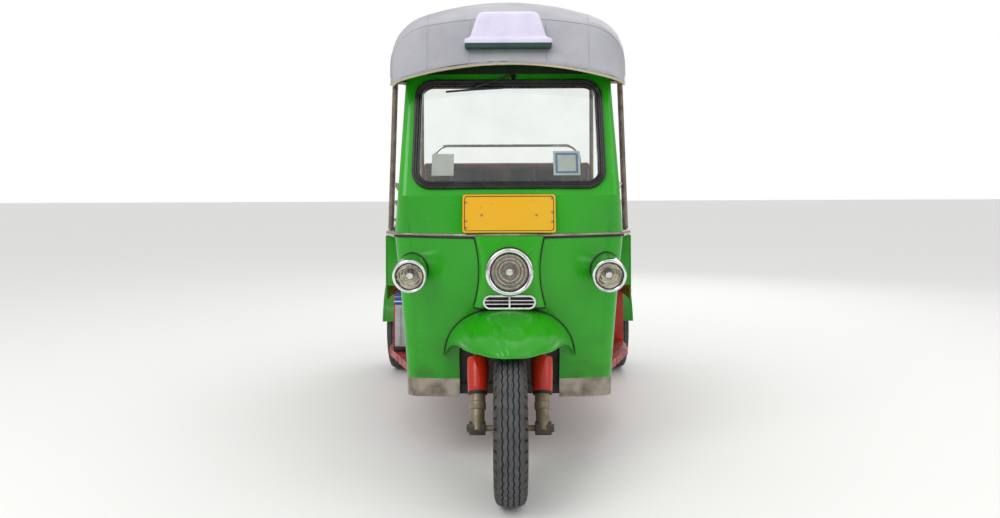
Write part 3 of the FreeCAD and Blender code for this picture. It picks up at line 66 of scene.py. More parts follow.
def begin(name, **surface):
    """A new material with its shader's constant sockets set; returns material, tree, shader, place."""
    material = bpy.data.materials.new(name)
    material.use_nodes = True
    tree = material.node_tree
    shader = tree.nodes["Principled BSDF"]
    for key, value in surface.items():
        shader.inputs[key.replace("_", " ")].default_value = value
    place = add(tree, "TexCoord").outputs["Object"]
    return material, tree, shader, place


def mapped(tree, place, **settings):
    """A place turned or stretched."""
    return add(tree, "Mapping", {"Vector": place, **settings}).outputs["Vector"]


def noisy(tree, place, size, detail):
    """Noise from 0 to 1, its lumps about size metres across."""
    return add(tree, "TexNoise", {"Vector": place, "Scale": 1 / size, "Detail": detail}).outputs["Fac"]


def ranged(tree, value, low=0.0, high=1.0, start=0.0, end=1.0):
    """A value's span from low to high carried to start to end, and held at both."""
    return add(tree, "MapRange", {"Value": value, "From Min": low, "From Max": high,
                                  "To Min": start, "To Max": end}).outputs["Result"]


def cloudy(tree, place, size, detail=4, low=0.35, high=0.65, stretch=(1, 1, 1)):
    """A patchy mask from 0 to 1, its patches about size metres across."""
    return ranged(tree, noisy(tree, mapped(tree, place, Scale=stretch), size, detail), low, high)


def mixed(tree, share, first, second):
    """Two colours mixed by a share; each is a hex colour or a socket."""
    mix = add(tree, "Mix", data_type="RGBA")
    for key, value in ((6, first), (7, second)):
        if isinstance(value, str):
            mix.inputs[key].default_value = linear(value)
        else:
            tree.links.new(value, mix.inputs[key])
    if isinstance(share, (int, float)):
        mix.inputs[0].default_value = share
    else:
        tree.links.new(share, mix.inputs[0])
    return mix.outputs[2]


def scaled(tree, mask, low, high):
    """A mask's 0 to 1 carried to low to high."""
    return ranged(tree, mask, start=low, end=high)


def finished(tree, shader, colour, rough):
    """Links a colour and a roughness to the shader."""
    tree.links.new(colour, shader.inputs["Base Color"])
    tree.links.new(rough, shader.inputs["Roughness"])


def bumped(tree, shader, height, distance, strength=1.0, under=None):
    """Relief from a height, over the relief under it."""
    inputs = {"Height": height, "Distance": distance, "Strength": strength}
    if under:
        inputs["Normal"] = under
    out = add(tree, "Bump", inputs).outputs["Normal"]
    tree.links.new(out, shader.inputs["Normal"])
    return out


def low_down(tree, place, bottom, top):
    """1 at the bottom height, 0 at the top height: where road dirt settles."""
    height = add(tree, "SeparateXYZ", {"Vector": place}).outputs["Z"]
    return ranged(tree, height, bottom, top, 1.0, 0.0)


def times(tree, first, second, operation="MULTIPLY"):
    """Two values multiplied, or joined by another operation; each is a number or a socket."""
    made = add(tree, "Math", operation=operation)
    for key, value in ((0, first), (1, second)):
        if isinstance(value, (int, float)):
            made.inputs[key].default_value = value
        else:
            tree.links.new(value, made.inputs[key])
    return made.outputs[0]


def scratches(tree, place):
    """Sparse fine lines about 70 mm apart, as from rubbing: the edges of long stretched cells."""
    bent = mapped(tree, place, Rotation=(0.4, 0.3, 0.9), Scale=(1, 7, 3))
    cells = add(tree, "TexVoronoi", {"Vector": bent, "Scale": 1 / 0.07}, feature="DISTANCE_TO_EDGE")
    line = ranged(tree, cells.outputs["Distance"], 0.0, 0.012, 1.0, 0.0)
    return times(tree, line, cloudy(tree, place, 0.16, 3, 0.56, 0.66))


def enamel(name, colour, faded, chip, gloss=0.16, orange_peel=0.012):
    """Stoved enamel on pressed steel: glossy, faded in patches, with chips, scratches and dust low down."""
    material, tree, shader, place = begin(name, Coat_Weight=0.14, Coat_Roughness=0.08, IOR=1.42)
    base = mixed(tree, cloudy(tree, place, 0.45, 3, 0.38, 0.68), colour, faded)
    base = mixed(tree, times(tree, scratches(tree, place), 0.55), base, chip)
    chips = cloudy(tree, place, 0.012, 2, 0.735, 0.75)
    base = mixed(tree, chips, base, chip)
    dust = times(tree, low_down(tree, place, 0.28, 0.62), cloudy(tree, place, 0.07, 5, 0.35, 0.7))
    base = mixed(tree, times(tree, dust, 0.5), base, "#3b342b")
    rough = scaled(tree, cloudy(tree, place, 0.2), gloss, gloss + 0.16)
    finished(tree, shader, base, times(tree, rough, times(tree, dust, 0.35), "ADD"))
    first = bumped(tree, shader, noisy(tree, place, orange_peel, 1.0), 0.00012, 0.5)
    bumped(tree, shader, times(tree, chips, -1), 0.0004, 0.8, first)
    return material


def plated(name, colour="#e4e6e8", pits=0.004, rough=0.07):
    """Bright plate: mirror clear with small pits, wiping marks and a brown film in places."""
    material, tree, shader, place = begin(name, Metallic=1.0)
    film = cloudy(tree, place, 0.03, 5, 0.52, 0.75)
    base = mixed(tree, times(tree, film, 0.55), colour, "#6f6455")
    finished(tree, shader, base, scaled(tree, film, rough, rough + 0.22))
    bumped(tree, shader, times(tree, cloudy(tree, place, pits, 2, 0.66, 0.72), -1), 0.0002, 0.6)
    return material


def bare_steel(name, colour, stain, metallic=0.75, grain=(1, 1, 18), rough=(0.32, 0.62), dirt_top=0.7):
    """Bare or thinly painted steel: drawn grain along it, stained and dusty."""
    material, tree, shader, place = begin(name, Metallic=metallic)
    stains = cloudy(tree, place, 0.05, 6, 0.42, 0.66)
    base = mixed(tree, times(tree, stains, 0.7), colour, stain)
    dust = times(tree, low_down(tree, place, 0.15, dirt_top), cloudy(tree, place, 0.03, 5, 0.3, 0.7))
    base = mixed(tree, times(tree, dust, 0.55), base, "#6a5d4c")
    finished(tree, shader, base, scaled(tree, stains, *rough))
    bumped(tree, shader, noisy(tree, mapped(tree, place, Scale=grain), 1 / 220, 3.0), 0.0002, 0.4)
    return material


def rubber(name, colour="#17181a", rough=0.5, grain=0.0015):
    """Moulded rubber: nearly black, softly shiny, with a fine skin and a grey bloom."""
    material, tree, shader, place = begin(name, IOR=1.5)
    bloom = cloudy(tree, place, 0.06, 5, 0.4, 0.75)
    base = mixed(tree, times(tree, bloom, 0.3), colour, "#3c3b3a")
    finished(tree, shader, base, scaled(tree, bloom, rough, rough + 0.25))
    bumped(tree, shader, noisy(tree, place, grain, 2.0), 0.0001, 0.5)
    return material


def tyre_rubber(name, radius, centre):
    """Worn tyre rubber: charcoal, with tan road dust on the sidewall and a paler rubbed tread."""
    material, tree, shader, place = begin(name, IOR=1.5)
    local = add(tree, "VectorMath", {0: place, 1: centre}, operation="SUBTRACT").outputs[0]
    y, z = add(tree, "SeparateXYZ", {"Vector": local}).outputs[1:]
    out = times(tree, times(tree, times(tree, y, y), times(tree, z, z), "ADD"), 0.5, "POWER")
    grime = cloudy(tree, place, 0.03, 6, 0.38, 0.7)
    side = mixed(tree, times(tree, grime, 0.75), "#1b1b1c", "#5b5246")
    worn = mixed(tree, cloudy(tree, place, 0.02, 5, 0.3, 0.75), "#3c3d40", "#57575a")
    base = mixed(tree, ranged(tree, out, radius - 0.012, radius - 0.003), side, worn)
    finished(tree, shader, base, scaled(tree, grime, 0.6, 0.92))
    bumped(tree, shader, noisy(tree, place, 1 / 700, 3.0), 0.0005, 0.6)
    return material


def coated_cloth(name, colour, shade):
    """Coated canopy cloth: a faint 1.5 mm weave under a smooth vinyl coat, softly shiny, water marked."""
    material, tree, shader, place = begin(name, IOR=1.48, Sheen_Weight=0.08)
    marks = cloudy(tree, place, 0.25, 5, 0.35, 0.7)
    streaks = cloudy(tree, place, 0.05, 4, 0.5, 0.72, (1, 1, 0.25))
    base = mixed(tree, times(tree, streaks, 0.18), mixed(tree, marks, colour, shade), "#7e7a76")
    finished(tree, shader, base, scaled(tree, marks, 0.34, 0.52))
    threads = [add(tree, "TexWave", {"Vector": place, "Scale": 1 / 0.0095, "Distortion": 0.3},
                   bands_direction=way).outputs["Fac"] for way in "XY"]
    first = bumped(tree, shader, times(tree, *threads, "ADD"), 0.00025, 0.35)
    bumped(tree, shader, noisy(tree, place, 1 / 9, 3.0), 0.006, 0.25, first)
    return material


def seat_vinyl(name, colour, shade):
    """Grained seat vinyl: pebbled leather-cloth grain, about 2 mm, polished where it is sat on."""
    material, tree, shader, place = begin(name, IOR=1.5, Sheen_Weight=0.05)
    wear = cloudy(tree, place, 0.12, 4, 0.4, 0.7)
    finished(tree, shader, mixed(tree, wear, colour, shade), scaled(tree, wear, 0.38, 0.58))
    pebble = add(tree, "TexVoronoi", {"Vector": place, "Scale": 1 / 0.0022}, feature="SMOOTH_F1")
    bumped(tree, shader, pebble.outputs["Distance"], 0.0005, 0.5)
    return material


def glass(name, tint, rough):
    """Clear glass; returns what begin does."""
    made = begin(name, Transmission_Weight=1.0, IOR=1.45, Roughness=rough)
    made[2].inputs["Base Color"].default_value = linear(tint)
    return made


def clear_glass(name):
    """Flat safety glass: clear, with a thin film of dust that shows as a faint haze."""
    material, tree, shader, place = glass(name, "#f1f6f3", 0.0)
    haze = add(tree, "BsdfDiffuse", {"Color": linear("#b9b6ac")})
    film = times(tree, cloudy(tree, place, 0.12, 6, 0.35, 0.75), 0.06)
    both = add(tree, "MixShader", {0: film, 1: shader.outputs[0], 2: haze.outputs[0]})
    tree.links.new(both.outputs[0], tree.nodes["Material Output"].inputs["Surface"])
    return material


def fluted_glass(name):
    """Pressed lamp glass: clear, with upright flutes 9 mm apart that break up the lamp's bowl."""
    material, tree, shader, place = glass(name, "#f4f6f2", 0.03)
    flutes = add(tree, "TexWave", {"Vector": place, "Scale": 1 / (2 * 0.009)}, bands_direction="X")
    bumped(tree, shader, flutes.outputs["Fac"], 0.0010, 0.45)
    return material


def moulded(name, colour, shade, rough=0.35, grain=0.0012, subsurface=0.0):
    """Moulded plastic: even colour with a slight mottle, satin skin, handling marks."""
    material, tree, shader, place = begin(name, IOR=1.5, Subsurface_Weight=subsurface)
    marks = cloudy(tree, place, 0.06, 4, 0.4, 0.72)
    base = mixed(tree, times(tree, marks, 0.6), colour, shade)
    finished(tree, shader, base, scaled(tree, marks, rough, rough + 0.2))
    bumped(tree, shader, noisy(tree, place, grain, 1.0), 0.0001, 0.4)
    return material


def tread_plate(name, colour, faded):
    """Red painted floor plate with raised bars, crossed in pairs about 30 mm apart, worn on their tops."""
    material, tree, shader, place = begin(name, IOR=1.5)
    bars = []
    for turn in (0.785, -0.785):
        tilted = mapped(tree, place, Rotation=(0, 0, turn), Scale=(1, 0.36, 1))
        cells = add(tree, "TexVoronoi", {"Vector": tilted, "Scale": 1 / 0.026, "Randomness": 0.0},
                    voronoi_dimensions="2D")
        bars.append(ranged(tree, cells.outputs["Distance"], 0.12, 0.26, 1.0, 0.0))
    raised = times(tree, *bars, "MAXIMUM")
    base = mixed(tree, cloudy(tree, place, 0.1, 5), colour, faded)
    base = mixed(tree, times(tree, raised, 0.5), base, "#8d7f76")
    grime = cloudy(tree, place, 0.05, 6, 0.4, 0.75)
    base = mixed(tree, times(tree, grime, 0.6), base, "#3a322b")
    finished(tree, shader, base, scaled(tree, grime, 0.35, 0.75))
    bumped(tree, shader, raised, 0.0012, 0.8)
    return material


GREEN = enamel("stoved_enamel_green", "#1a9806", "#2ca412", "#6f9a58")
# painted shade: the header panel under the roof's front edge is the body's green, painted near black for the
# shadow the cover casts on it
SHADE_PAINTED_GREEN = enamel("green_enamel_painted_in_shade", "#0a240a", "#10300f", "#223020", gloss=0.3)
RED = enamel("stoved_enamel_red", "#c8200a", "#b02a14", "#6d5a50")
CAST_RED = enamel("fork_enamel_red", "#d8260a", "#c22a12", "#6d4a3c", orange_peel=0.006)
BLACK = enamel("satin_enamel_black", "#141414", "#242322", "#5b5148", gloss=0.34)
WHEEL_PAINT = enamel("wheel_enamel_grey", "#5d5b57", "#6d6a64", "#3b332c", gloss=0.4)
CHROME = plated("chrome_plate")
MIRROR = plated("lamp_reflector", "#f2eada", 0.01, 0.03)
LEG = bare_steel("dusty_painted_leg", "#8d8168", "#5a4f3c", 0.3)
GASKET = rubber("glossy_gasket_rubber", "#0a0a0b", 0.2, 0.004)
TUBE = bare_steel("painted_tube_brown_grey", "#8a7f73", "#5a4f45", 0.35)
SLEEK = bare_steel("ground_steel", "#b3aa9e", "#776b5c", 0.9, (1, 1, 0.1), (0.22, 0.45))
OILY = bare_steel("oily_cast_steel", "#48433e", "#231f1c", 0.5, (1, 1, 1), (0.4, 0.75))
STRIP = bare_steel("worn_aluminium_strip", "#a39a8d", "#6b625a", 0.7, (18, 18, 1), (0.3, 0.55), 0.42)
RUST = bare_steel("rusted_exhaust_steel", "#5d4636", "#35261d", 0.3, (1, 1, 1), (0.6, 0.85))
RUBBER = rubber("moulded_rubber")
PIPING = rubber("rubber_piping_black", "#0d0e0f", 0.42)
CLOTH = coated_cloth("coated_canopy_cloth", "#a8a8ad", "#96969d")
WELT = coated_cloth("cloth_piping_cream", "#c4bb8f", "#a89f74")
VINYL = seat_vinyl("seat_vinyl_black", "#101114", "#24252a")
RED_VINYL = seat_vinyl("seat_vinyl_red", "#b0160f", "#8c1510")
GLASS = clear_glass("safety_glass")
LENS = fluted_glass("fluted_lamp_glass")
PLATE = enamel("plate_enamel_yellow", "#e2a808", "#dcae1c", "#8f7130", gloss=0.3)
SIGN = moulded("moulded_acrylic_lavender", "#dcd6ea", "#c8c1dc", 0.22, 0.004, 0.08)
SIGN_BASE = moulded("moulded_base_green", "#24463f", "#1a352f", 0.4)
TAIL_RED = moulded("lamp_plastic_red", "#a30c06", "#7f0a06", 0.12, 0.003, 0.1)
CASE = moulded("battery_polypropylene_grey", "#b9bbbd", "#8f8f90", 0.4)
CASE_LID = moulded("battery_lid_blue", "#1749a8", "#123a86", 0.35)
PAPER = moulded("label_paper", "#e9ebe6", "#d5d7d2", 0.6, 0.002)
PAPER_BLUE = moulded("label_border_blue", "#3f8fd0", "#3580bc", 0.55, 0.002)
FLOOR_PLATE = tread_plate("painted_tread_plate", "#a81c0e", "#8d2416")
GRIP = rubber("grip_rubber", "#101010", 0.6)


# ---------------------------------------------------------------- helpers

def linked(name, data):
    """A new object in the scene for a mesh, curve, lamp or camera."""
    made = bpy.data.objects.new(name, data)
    bpy.context.scene.collection.objects.link(made)
    return made


def mesh_of(name, bm):
    """A bmesh written out as a mesh."""
    mesh = bpy.data.meshes.new(name)
    bm.to_mesh(mesh)
    bm.free()
    return mesh


def piece(name, bm, material, body="chassis", sharp=32, merge=True):
    """Turns a bmesh into a finished piece that rides on a body."""
    if merge:
        bmesh.ops.remove_doubles(bm, verts=bm.verts, dist=WELD)
    bmesh.ops.recalc_face_normals(bm, faces=bm.faces)
    mesh = mesh_of(name, bm)
    mesh.materials.append(material)
    mesh.polygons.foreach_set("use_smooth", [True] * len(mesh.polygons))
    mesh.set_sharp_from_angle(angle=math.radians(sharp))
    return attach(linked(name, mesh), body)


def walled(made, thickness, offset):
    """Gives a skin its thickness: inwards for -1, both ways for 0, outwards for 1."""
    wall = made.modifiers.new("wall", "SOLIDIFY")
    wall.thickness, wall.offset = thickness, offset


def strips(bm, rows):
    """Four-sided faces between neighbouring rows of vertices."""
    for first, second in zip(rows, rows[1:]):
        for corners in zip(first, first[1:], second[1:], second):
            bm.faces.new(corners)


def skin_tree(*meshes):
    """A tree of some meshes' faces, for seating trim on them."""
    verts, faces = [], []
    for mesh in meshes:
        offset = len(verts)
        verts += [v.co.copy() for v in mesh.vertices]
        faces += [[offset + i for i in p.vertices] for p in mesh.polygons]
    return BVHTree.FromPolygons(verts, faces)


def from_ahead(tree, x, z):
    """Where a tree's faces are first met from straight ahead, and their normal there, turned forward."""
    place, normal, _, _ = tree.ray_cast(Vector((x, -2.0, z)), Vector((0, 1, 0)))
    if place is not None and normal.y > 0:
        normal = -normal
    return place, normal


def evaluated(holder):
    """An object's mesh after its modifiers or its bevel."""
    bpy.context.view_layer.update()
    return bpy.data.meshes.new_from_object(holder.evaluated_get(bpy.context.evaluated_depsgraph_get()))


def bead(name, runs, radius, material, body="chassis"):
    """Round beads along point runs, made as one mesh from curves."""
    curve = bpy.data.curves.new(name, "CURVE")
    curve.dimensions = "3D"
    curve.bevel_depth, curve.bevel_resolution = radius, 3
    curve.use_fill_caps = True
    for run in runs:
        spline = curve.splines.new("POLY")
        spline.points.add(len(run) - 1)
        for point, place in zip(spline.points, run):
            point.co = (*place, 1)
    holder = linked(name + "_path", curve)
    mesh = evaluated(holder)
    bpy.data.objects.remove(holder)
    bm = bmesh.new()
    bm.from_mesh(mesh)
    bpy.data.meshes.remove(mesh)
    return piece(name, bm, material, body, 50, False)


def evenly(points, count):
    """Points spread evenly along a run of points."""
    points = [Vector(p) for p in points]
    lengths = [0.0]
    for first, second in zip(points, points[1:]):
        lengths.append(lengths[-1] + (second - first).length)
    out, index = [], 0
    for step in range(count):
        want = lengths[-1] * step / (count - 1)
        while index < len(points) - 2 and lengths[index + 1] < want:
            index += 1
        gap = lengths[index + 1] - lengths[index]
        share = 0 if gap < 1e-9 else (want - lengths[index]) / gap
        out.append(points[index].lerp(points[index + 1], share))
    return out


def softened(points, rounds=2):
    """A run with its corners eased, ends kept."""
    for _ in range(rounds):
        eased = [(a + b * 2 + c) / 4 for a, b, c in zip(points, points[1:], points[2:])]
        points = [points[0]] + eased + [points[-1]]
    return points





def spun(bm, profile, centre, axis, steps, loop=False):
    """Spins a profile of points a full turn about an axis; loop closes the profile."""
    verts = [bm.verts.new(p) for p in profile]
    edges = [bm.edges.new(pair) for pair in zip(verts, verts[1:])]
    if loop:
        edges.append(bm.edges.new((verts[-1], verts[0])))
    bmesh.ops.spin(bm, geom=verts + edges, cent=centre, axis=axis, dvec=(0, 0, 0),
                   angle=math.tau, steps=steps, use_merge=True, use_duplicate=False)


def turned_about(bm, start, way, profile, steps=40, loop=False):
    """Spins (radius, distance) pairs, in millimetres, about a line from start along way."""
    way = Vector(way).normalized()
    out = way.orthogonal().normalized()
    spun(bm, [start + out * (r * MM) + way * (t * MM) for r, t in profile], start, way, steps, loop)


def rounded(half_x, half_y, corner, step=15):
    """The outline of a round-cornered rectangle about the origin, as (x, y) pairs."""
    points = []
    for across, up, start in ((1, 1, 0), (-1, 1, 90), (-1, -1, 180), (1, -1, 270)):
        for degrees in range(start, start + 91, step):
            turn = math.radians(degrees)
            points.append((across * (half_x - corner) + corner * math.cos(turn),
                           up * (half_y - corner) + corner * math.sin(turn)))
    return points


def rounded_off(over, radius):
    """How far a rounded corner falls back at a distance past where it starts."""
    return radius - math.sqrt(max(0.0, radius ** 2 - max(0.0, over) ** 2))


def bolts(name, places, radius, height, material=SLEEK, body="chassis", sides=6):
    """Bolt or rivet heads: (place, outward way) pairs, each a low chamfered prism."""
    bm = bmesh.new()
    for place, way in places:
        way = Vector(way)
        turn = way.to_track_quat("Z", "Y").to_matrix().to_4x4()
        middle = Matrix.Translation(Vector(place) + way.normalized() * height / 2)
        bmesh.ops.create_cone(bm, cap_ends=True, cap_tris=False, segments=sides, radius1=radius,
                              radius2=radius * 0.86, depth=height, matrix=middle @ turn)
    return piece(name, bm, material, body, 25)


def slab(bm, low, high, ease, segments=3):
    """A box between two corners with its edges eased."""
    low, high = Vector(low), Vector(high)
    place = Matrix.Translation((low + high) / 2) @ Matrix.Diagonal((*(high - low), 1))
    made = bmesh.ops.create_cube(bm, size=1, matrix=place)
    edges = list({e for v in made["verts"] for e in v.link_edges})
    bmesh.ops.bevel(bm, geom=edges, offset=ease, segments=segments, profile=0.5, affect="EDGES", material=-1)


def slabs(name, boxes, material, place=None):
    """A piece of eased boxes: (low corner, high corner, ease, segments) each."""
    bm = bmesh.new()
    for box in boxes:
        slab(bm, *box)
    if place:
        bm.transform(place)
    return piece(name, bm, material, merge=False)


# ---------------------------------------------------------------- CAD nodes' finishes

FINISH = {
    # the header panel gets the green with painted shadow, not its own colour
    SHADE_PAINTED_GREEN: ["header_panel"],
    GREEN: ["front_shell", "nose_panel", "front_mudguard", "windscreen_surround", "rear_fenders", "rear_panel",
            "side_panel_left_front", "side_panel_left_rear", "side_panel_right"],
    RED: ["rear_floor", "seat_base"],
    CAST_RED: ["fork_yoke", "fork_uppers"],
    FLOOR_PLATE: ["cab_floor"],
    BLACK: ["chassis_frame", "dash_shelf", "driver_seat_box", "wiper", "handlebar"],
    STRIP: ["sill_strip"],
    GASKET: ["windscreen_gasket"],
    RUBBER: ["front_tyre", "rear_left_tyre", "rear_right_tyre"],
    GLASS: ["windscreen_glass"],
    CHROME: ["nose_grille", "backrest_rail", "scroll_panels", "rear_bumper", "lamp_housings"],
    TUBE: ["roof_frame"],
    SLEEK: ["side_guards"],
    LEG: ["fork_lowers"],
    OILY: ["rear_axle", "leaf_springs", "propshaft", "engine_block"],
    RUST: ["exhaust"],
    LENS: ["lamp_lenses"],
    TAIL_RED: ["tail_lamps"],
    PLATE: ["number_plates"],
    SIGN: ["roof_sign"],
    CLOTH: ["canopy"],
    VINYL: ["seat_cushion", "seat_backrest", "driver_cushion", "driver_backrest"],
    WHEEL_PAINT: ["front_rim", "rear_left_rim", "rear_right_rim"],
    CASE: ["battery_box"],
}
for material, names in FINISH.items():
    for name in names:
        mesh = nodes[name].data
        mesh.materials.clear()
        mesh.materials.append(material)


# ---------------------------------------------------------------- tyres

# wheel, hub, outer radius, width, rim radius, grooves; nut circle, nut stand-off, outward way
WHEELS = [("front", (0.0, -1.150, 0.250), 0.250, 0.112, 0.127, 4, 0.072, 0.0036, 1),
          ("rear_left", (0.620, 0.950, 0.265), 0.265, 0.145, 0.152, 5, 0.085, 0.0176, 1),
          ("rear_right", (-0.620, 0.950, 0.265), 0.265, 0.145, 0.152, 5, 0.085, 0.0176, -1)]
FRONT_HUB = Vector(WHEELS[0][1])


def tyre(wheel, centre, radius, width, rim_radius, grooves):
    """A ribbed road tyre: zigzag grooves round the tread and cut notches on each shoulder."""
    centre, half, drop, steps = Vector(centre), width / 2, 0.010, 176
    tread_half = half - 0.012
    side = [(half - 0.014, rim_radius + 0.001), (half - 0.004, rim_radius + 0.010),
            (half - 0.002, rim_radius + 0.024), (half, (radius + rim_radius) / 2),
            (half - 0.002, radius - 0.034), (half - 0.005, radius - 0.022),
            (tread_half + 0.002, radius - drop - 0.002), (tread_half, radius - drop)]
    profile = [(-across, out) for across, out in side]
    for index in range(grooves):
        middle = 2 * tread_half * (index + 1) / (grooves + 1) - tread_half
        for shift, sunk in ((-0.0026, 0), (-0.0016, 0.007), (0.0016, 0.007), (0.0026, 0)):
            across = middle + shift
            profile.append((across, radius - drop * (abs(across) / tread_half) ** 2.4 - sunk))
    profile += side[::-1]
    bm = bmesh.new()
    spun(bm, [centre + Vector((across, 0, out)) for across, out in profile], centre, (1, 0, 0), steps, True)
    bmesh.ops.remove_doubles(bm, verts=bm.verts, dist=WELD)

    def about(place):
        """How far a place is across and out from the hub, and its turn in steps."""
        local = place - centre
        return abs(local.x), math.hypot(local.y, local.z), math.atan2(local.z, local.y) / math.tau * steps

    for vert in bm.verts:
        across, out, turn = about(vert.co)
        if across < tread_half - 0.004 and out > radius - 0.022:
            vert.co.x += 0.0013 * (1 if round(turn) % 4 < 2 else -1)
    notches = []
    for face in bm.faces:
        across, out, turn = about(face.calc_center_median())
        if across > half - 0.016 and radius - 0.034 < out < radius - 0.008 and math.floor(turn) % 4 == 0:
            notches.append(face)
    bmesh.ops.recalc_face_normals(bm, faces=bm.faces)
    bmesh.ops.inset_individual(bm, faces=notches, thickness=0.0012, depth=-0.004, use_even_offset=True)
    rubber_coat = tyre_rubber(f"{wheel}_tyre_ribbed_rubber", radius, centre)
    made = piece(f"{wheel}_tyre_ribbed", bm, rubber_coat, f"{wheel}_wheel", 30)
    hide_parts(f"{wheel}_tyre")


for row in WHEELS:
    tyre(*row[:6])


# ---------------------------------------------------------------- roof cover

# station behind the front axle, half width, heights of edge and shoulder, corner width, heights of corner
# and crown, all in millimetres
ROOF = [
    (300, 434, 1448, 1454, 50, 1473, 1527), (430, 458, 1474, 1567, 136, 1711, 1737),
    (600, 482, 1494, 1600, 130, 1775, 1830), (1000, 543, 1545, 1650, 143, 1845, 1924),
    (1700, 560, 1640, 1700, 150, 1862, 1934), (2340, 558, 1725, 1765, 130, 1852, 1900),
    (2440, 550, 1735, 1755, 90, 1806, 1850),
]
HOOPS = [row[0] for row in ROOF]
FIRST, LAST = HOOPS[0], HOOPS[-1]
AXLE_Y = -1150
ARCH_COUNT = 96
# how far the cover's own skin lies inside the arches, and the edge rail's middle inside and over its edge
COVER_INSET, RAIL_IN, RAIL_UP = 0.6, 24, 13


def at_station(x, station, z):
    """A place given in millimetres, its station counted back from the front axle, in metres."""
    return Vector((x * MM, (AXLE_Y + station) * MM, z * MM))


def arch_points(wide, edge, shoulder, corner, top, crown, inset):
    """One roof arch from the right edge over the crown to the left edge, in millimetres (x, z). The
    crown and the corners are arcs that meet along one line; an inset moves them square to themselves."""
    meet, start = Vector((wide - corner, top)), Vector((wide, shoulder))
    radius = (meet.x ** 2 + (crown - top) ** 2) / (2 * (crown - top))
    out = (meet - Vector((0, crown - radius))).normalized()
    chord = meet - start
    bend = chord.dot(chord) / (2 * out.dot(chord))
    centre = meet - out * bend
    begin = (start - centre).normalized()
    ends = [centre + way * (bend - inset) for way in (begin, (begin + out).normalized(), out)]
    side = [(ends[0].x, edge + (ends[0].y - edge) * k / 3) for k in range(3)]
    half = side + three_point_arc(*ends, 12)
    over = three_point_arc(ends[2], (0, crown - inset), (-ends[2].x, ends[2].y), 31)
    return [(-x, z) for x, z in half] + over[::-1][1:-1] + half[::-1]


def three_point_arc(a, b, c, count):
    """Points on the circle arc from a through b to c."""
    (ax, ay), (bx, by), (cx, cy) = a, b, c
    d = 2 * (ax * (by - cy) + bx * (cy - ay) + cx * (ay - by))
    aa, bb, cc = ax * ax + ay * ay, bx * bx + by * by, cx * cx + cy * cy
    ux = (aa * (by - cy) + bb * (cy - ay) + cc * (ay - by)) / d
    uy = (aa * (cx - bx) + bb * (ax - cx) + cc * (bx - ax)) / d
    radius = math.hypot(ax - ux, ay - uy)
    start, middle, end = (math.atan2(y - uy, x - ux) for x, y in (a, b, c))
    sweep = (end - start) % math.tau
    if (middle - start) % math.tau > sweep:
        sweep -= math.tau
    turns = [start + sweep * k / (count - 1) for k in range(count)]
    return [(ux + radius * math.cos(turn), uy + radius * math.sin(turn)) for turn in turns]


def roof_values(station):
    """The roof table's values at a station."""
    index = max([k for k in range(len(ROOF) - 1) if ROOF[k][0] <= station] or [0])
    first, second = ROOF[index], ROOF[index + 1]
    share = (station - first[0]) / (second[0] - first[0])
    return [a + (b - a) * share for a, b in zip(first[1:], second[1:])]


ROWS = {}


def roof_row(station, inset=0):
    """Even points on the arch at any station, eased a little across the table's bows."""
    if (station, inset) not in ROWS:
        ease = min(25, station - FIRST, LAST - station)
        picks = [roof_values(station + ease * k / 2) for k in (-2, -1, 0, 1, 2)]
        values = [sum(column) / 5 for column in zip(*picks)]
        ROWS[station, inset] = softened(evenly(arch_points(*values, inset), ARCH_COUNT + 1))
    return ROWS[station, inset]


def cloth_point(station, share):
    """A point of the roof's face: share runs 0 to 1 from the right edge to the left edge."""
    row = roof_row(station, COVER_INSET)
    place = share * (len(row) - 1)
    low = min(int(place), len(row) - 2)
    x, z = (a + (b - a) * (place - low) for a, b in zip(row[low], row[low + 1]))
    return at_station(x, station, z)


def roof_cover():
    """One sheet over the hoops: it sags between them, lifts at the hem between the posts, and puckers."""
    bm = bmesh.new()
    bmesh.ops.create_grid(bm, x_segments=ARCH_COUNT, y_segments=110, size=0.5)
    for vert in bm.verts:
        share = vert.co.x + 0.5
        station = FIRST + (vert.co.y + 0.5) * (LAST - FIRST)
        spot = cloth_point(station, share)
        before = max(hoop for hoop in HOOPS if hoop <= station + 0.01)
        after = min([hoop for hoop in HOOPS if hoop > station + 0.01] or [LAST])
        gap = max(after - before, 1)
        belly = math.sin(math.pi * (station - before) / gap) ** 2 if after > before else 0
        inward = (Vector((0, spot.y, 1.30)) - spot).normalized()
        side = min(1, abs(share - 0.5) * 2)
        sag = 0.0065 * belly * (gap / 700) * (0.45 + 0.55 * (1 - side ** 6))
        pucker = 0.0016 * noise.noise(Vector((share * 30, spot.y * 9, 1.7)))
        pucker += 0.003 * noise.noise(Vector((share * 7, spot.y * 3, 4.2)))
        spot += inward * max(0.0, sag + pucker)
        if side > 0.86:
            spot.z += 0.012 * belly * (side - 0.86) / 0.14 * (gap / 700)
        vert.co = spot
    made = piece("canopy_cover", bm, CLOTH, sharp=60)
    walled(made, 0.003, -1)
    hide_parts("canopy")
    return made


def rail_point(index, side):
    """The middle of the edge rail under one arch of the table, inside the cover's edge."""
    station, wide, edge = ROOF[index][:3]
    return at_station(side * (wide - RAIL_IN), station, edge + RAIL_UP)


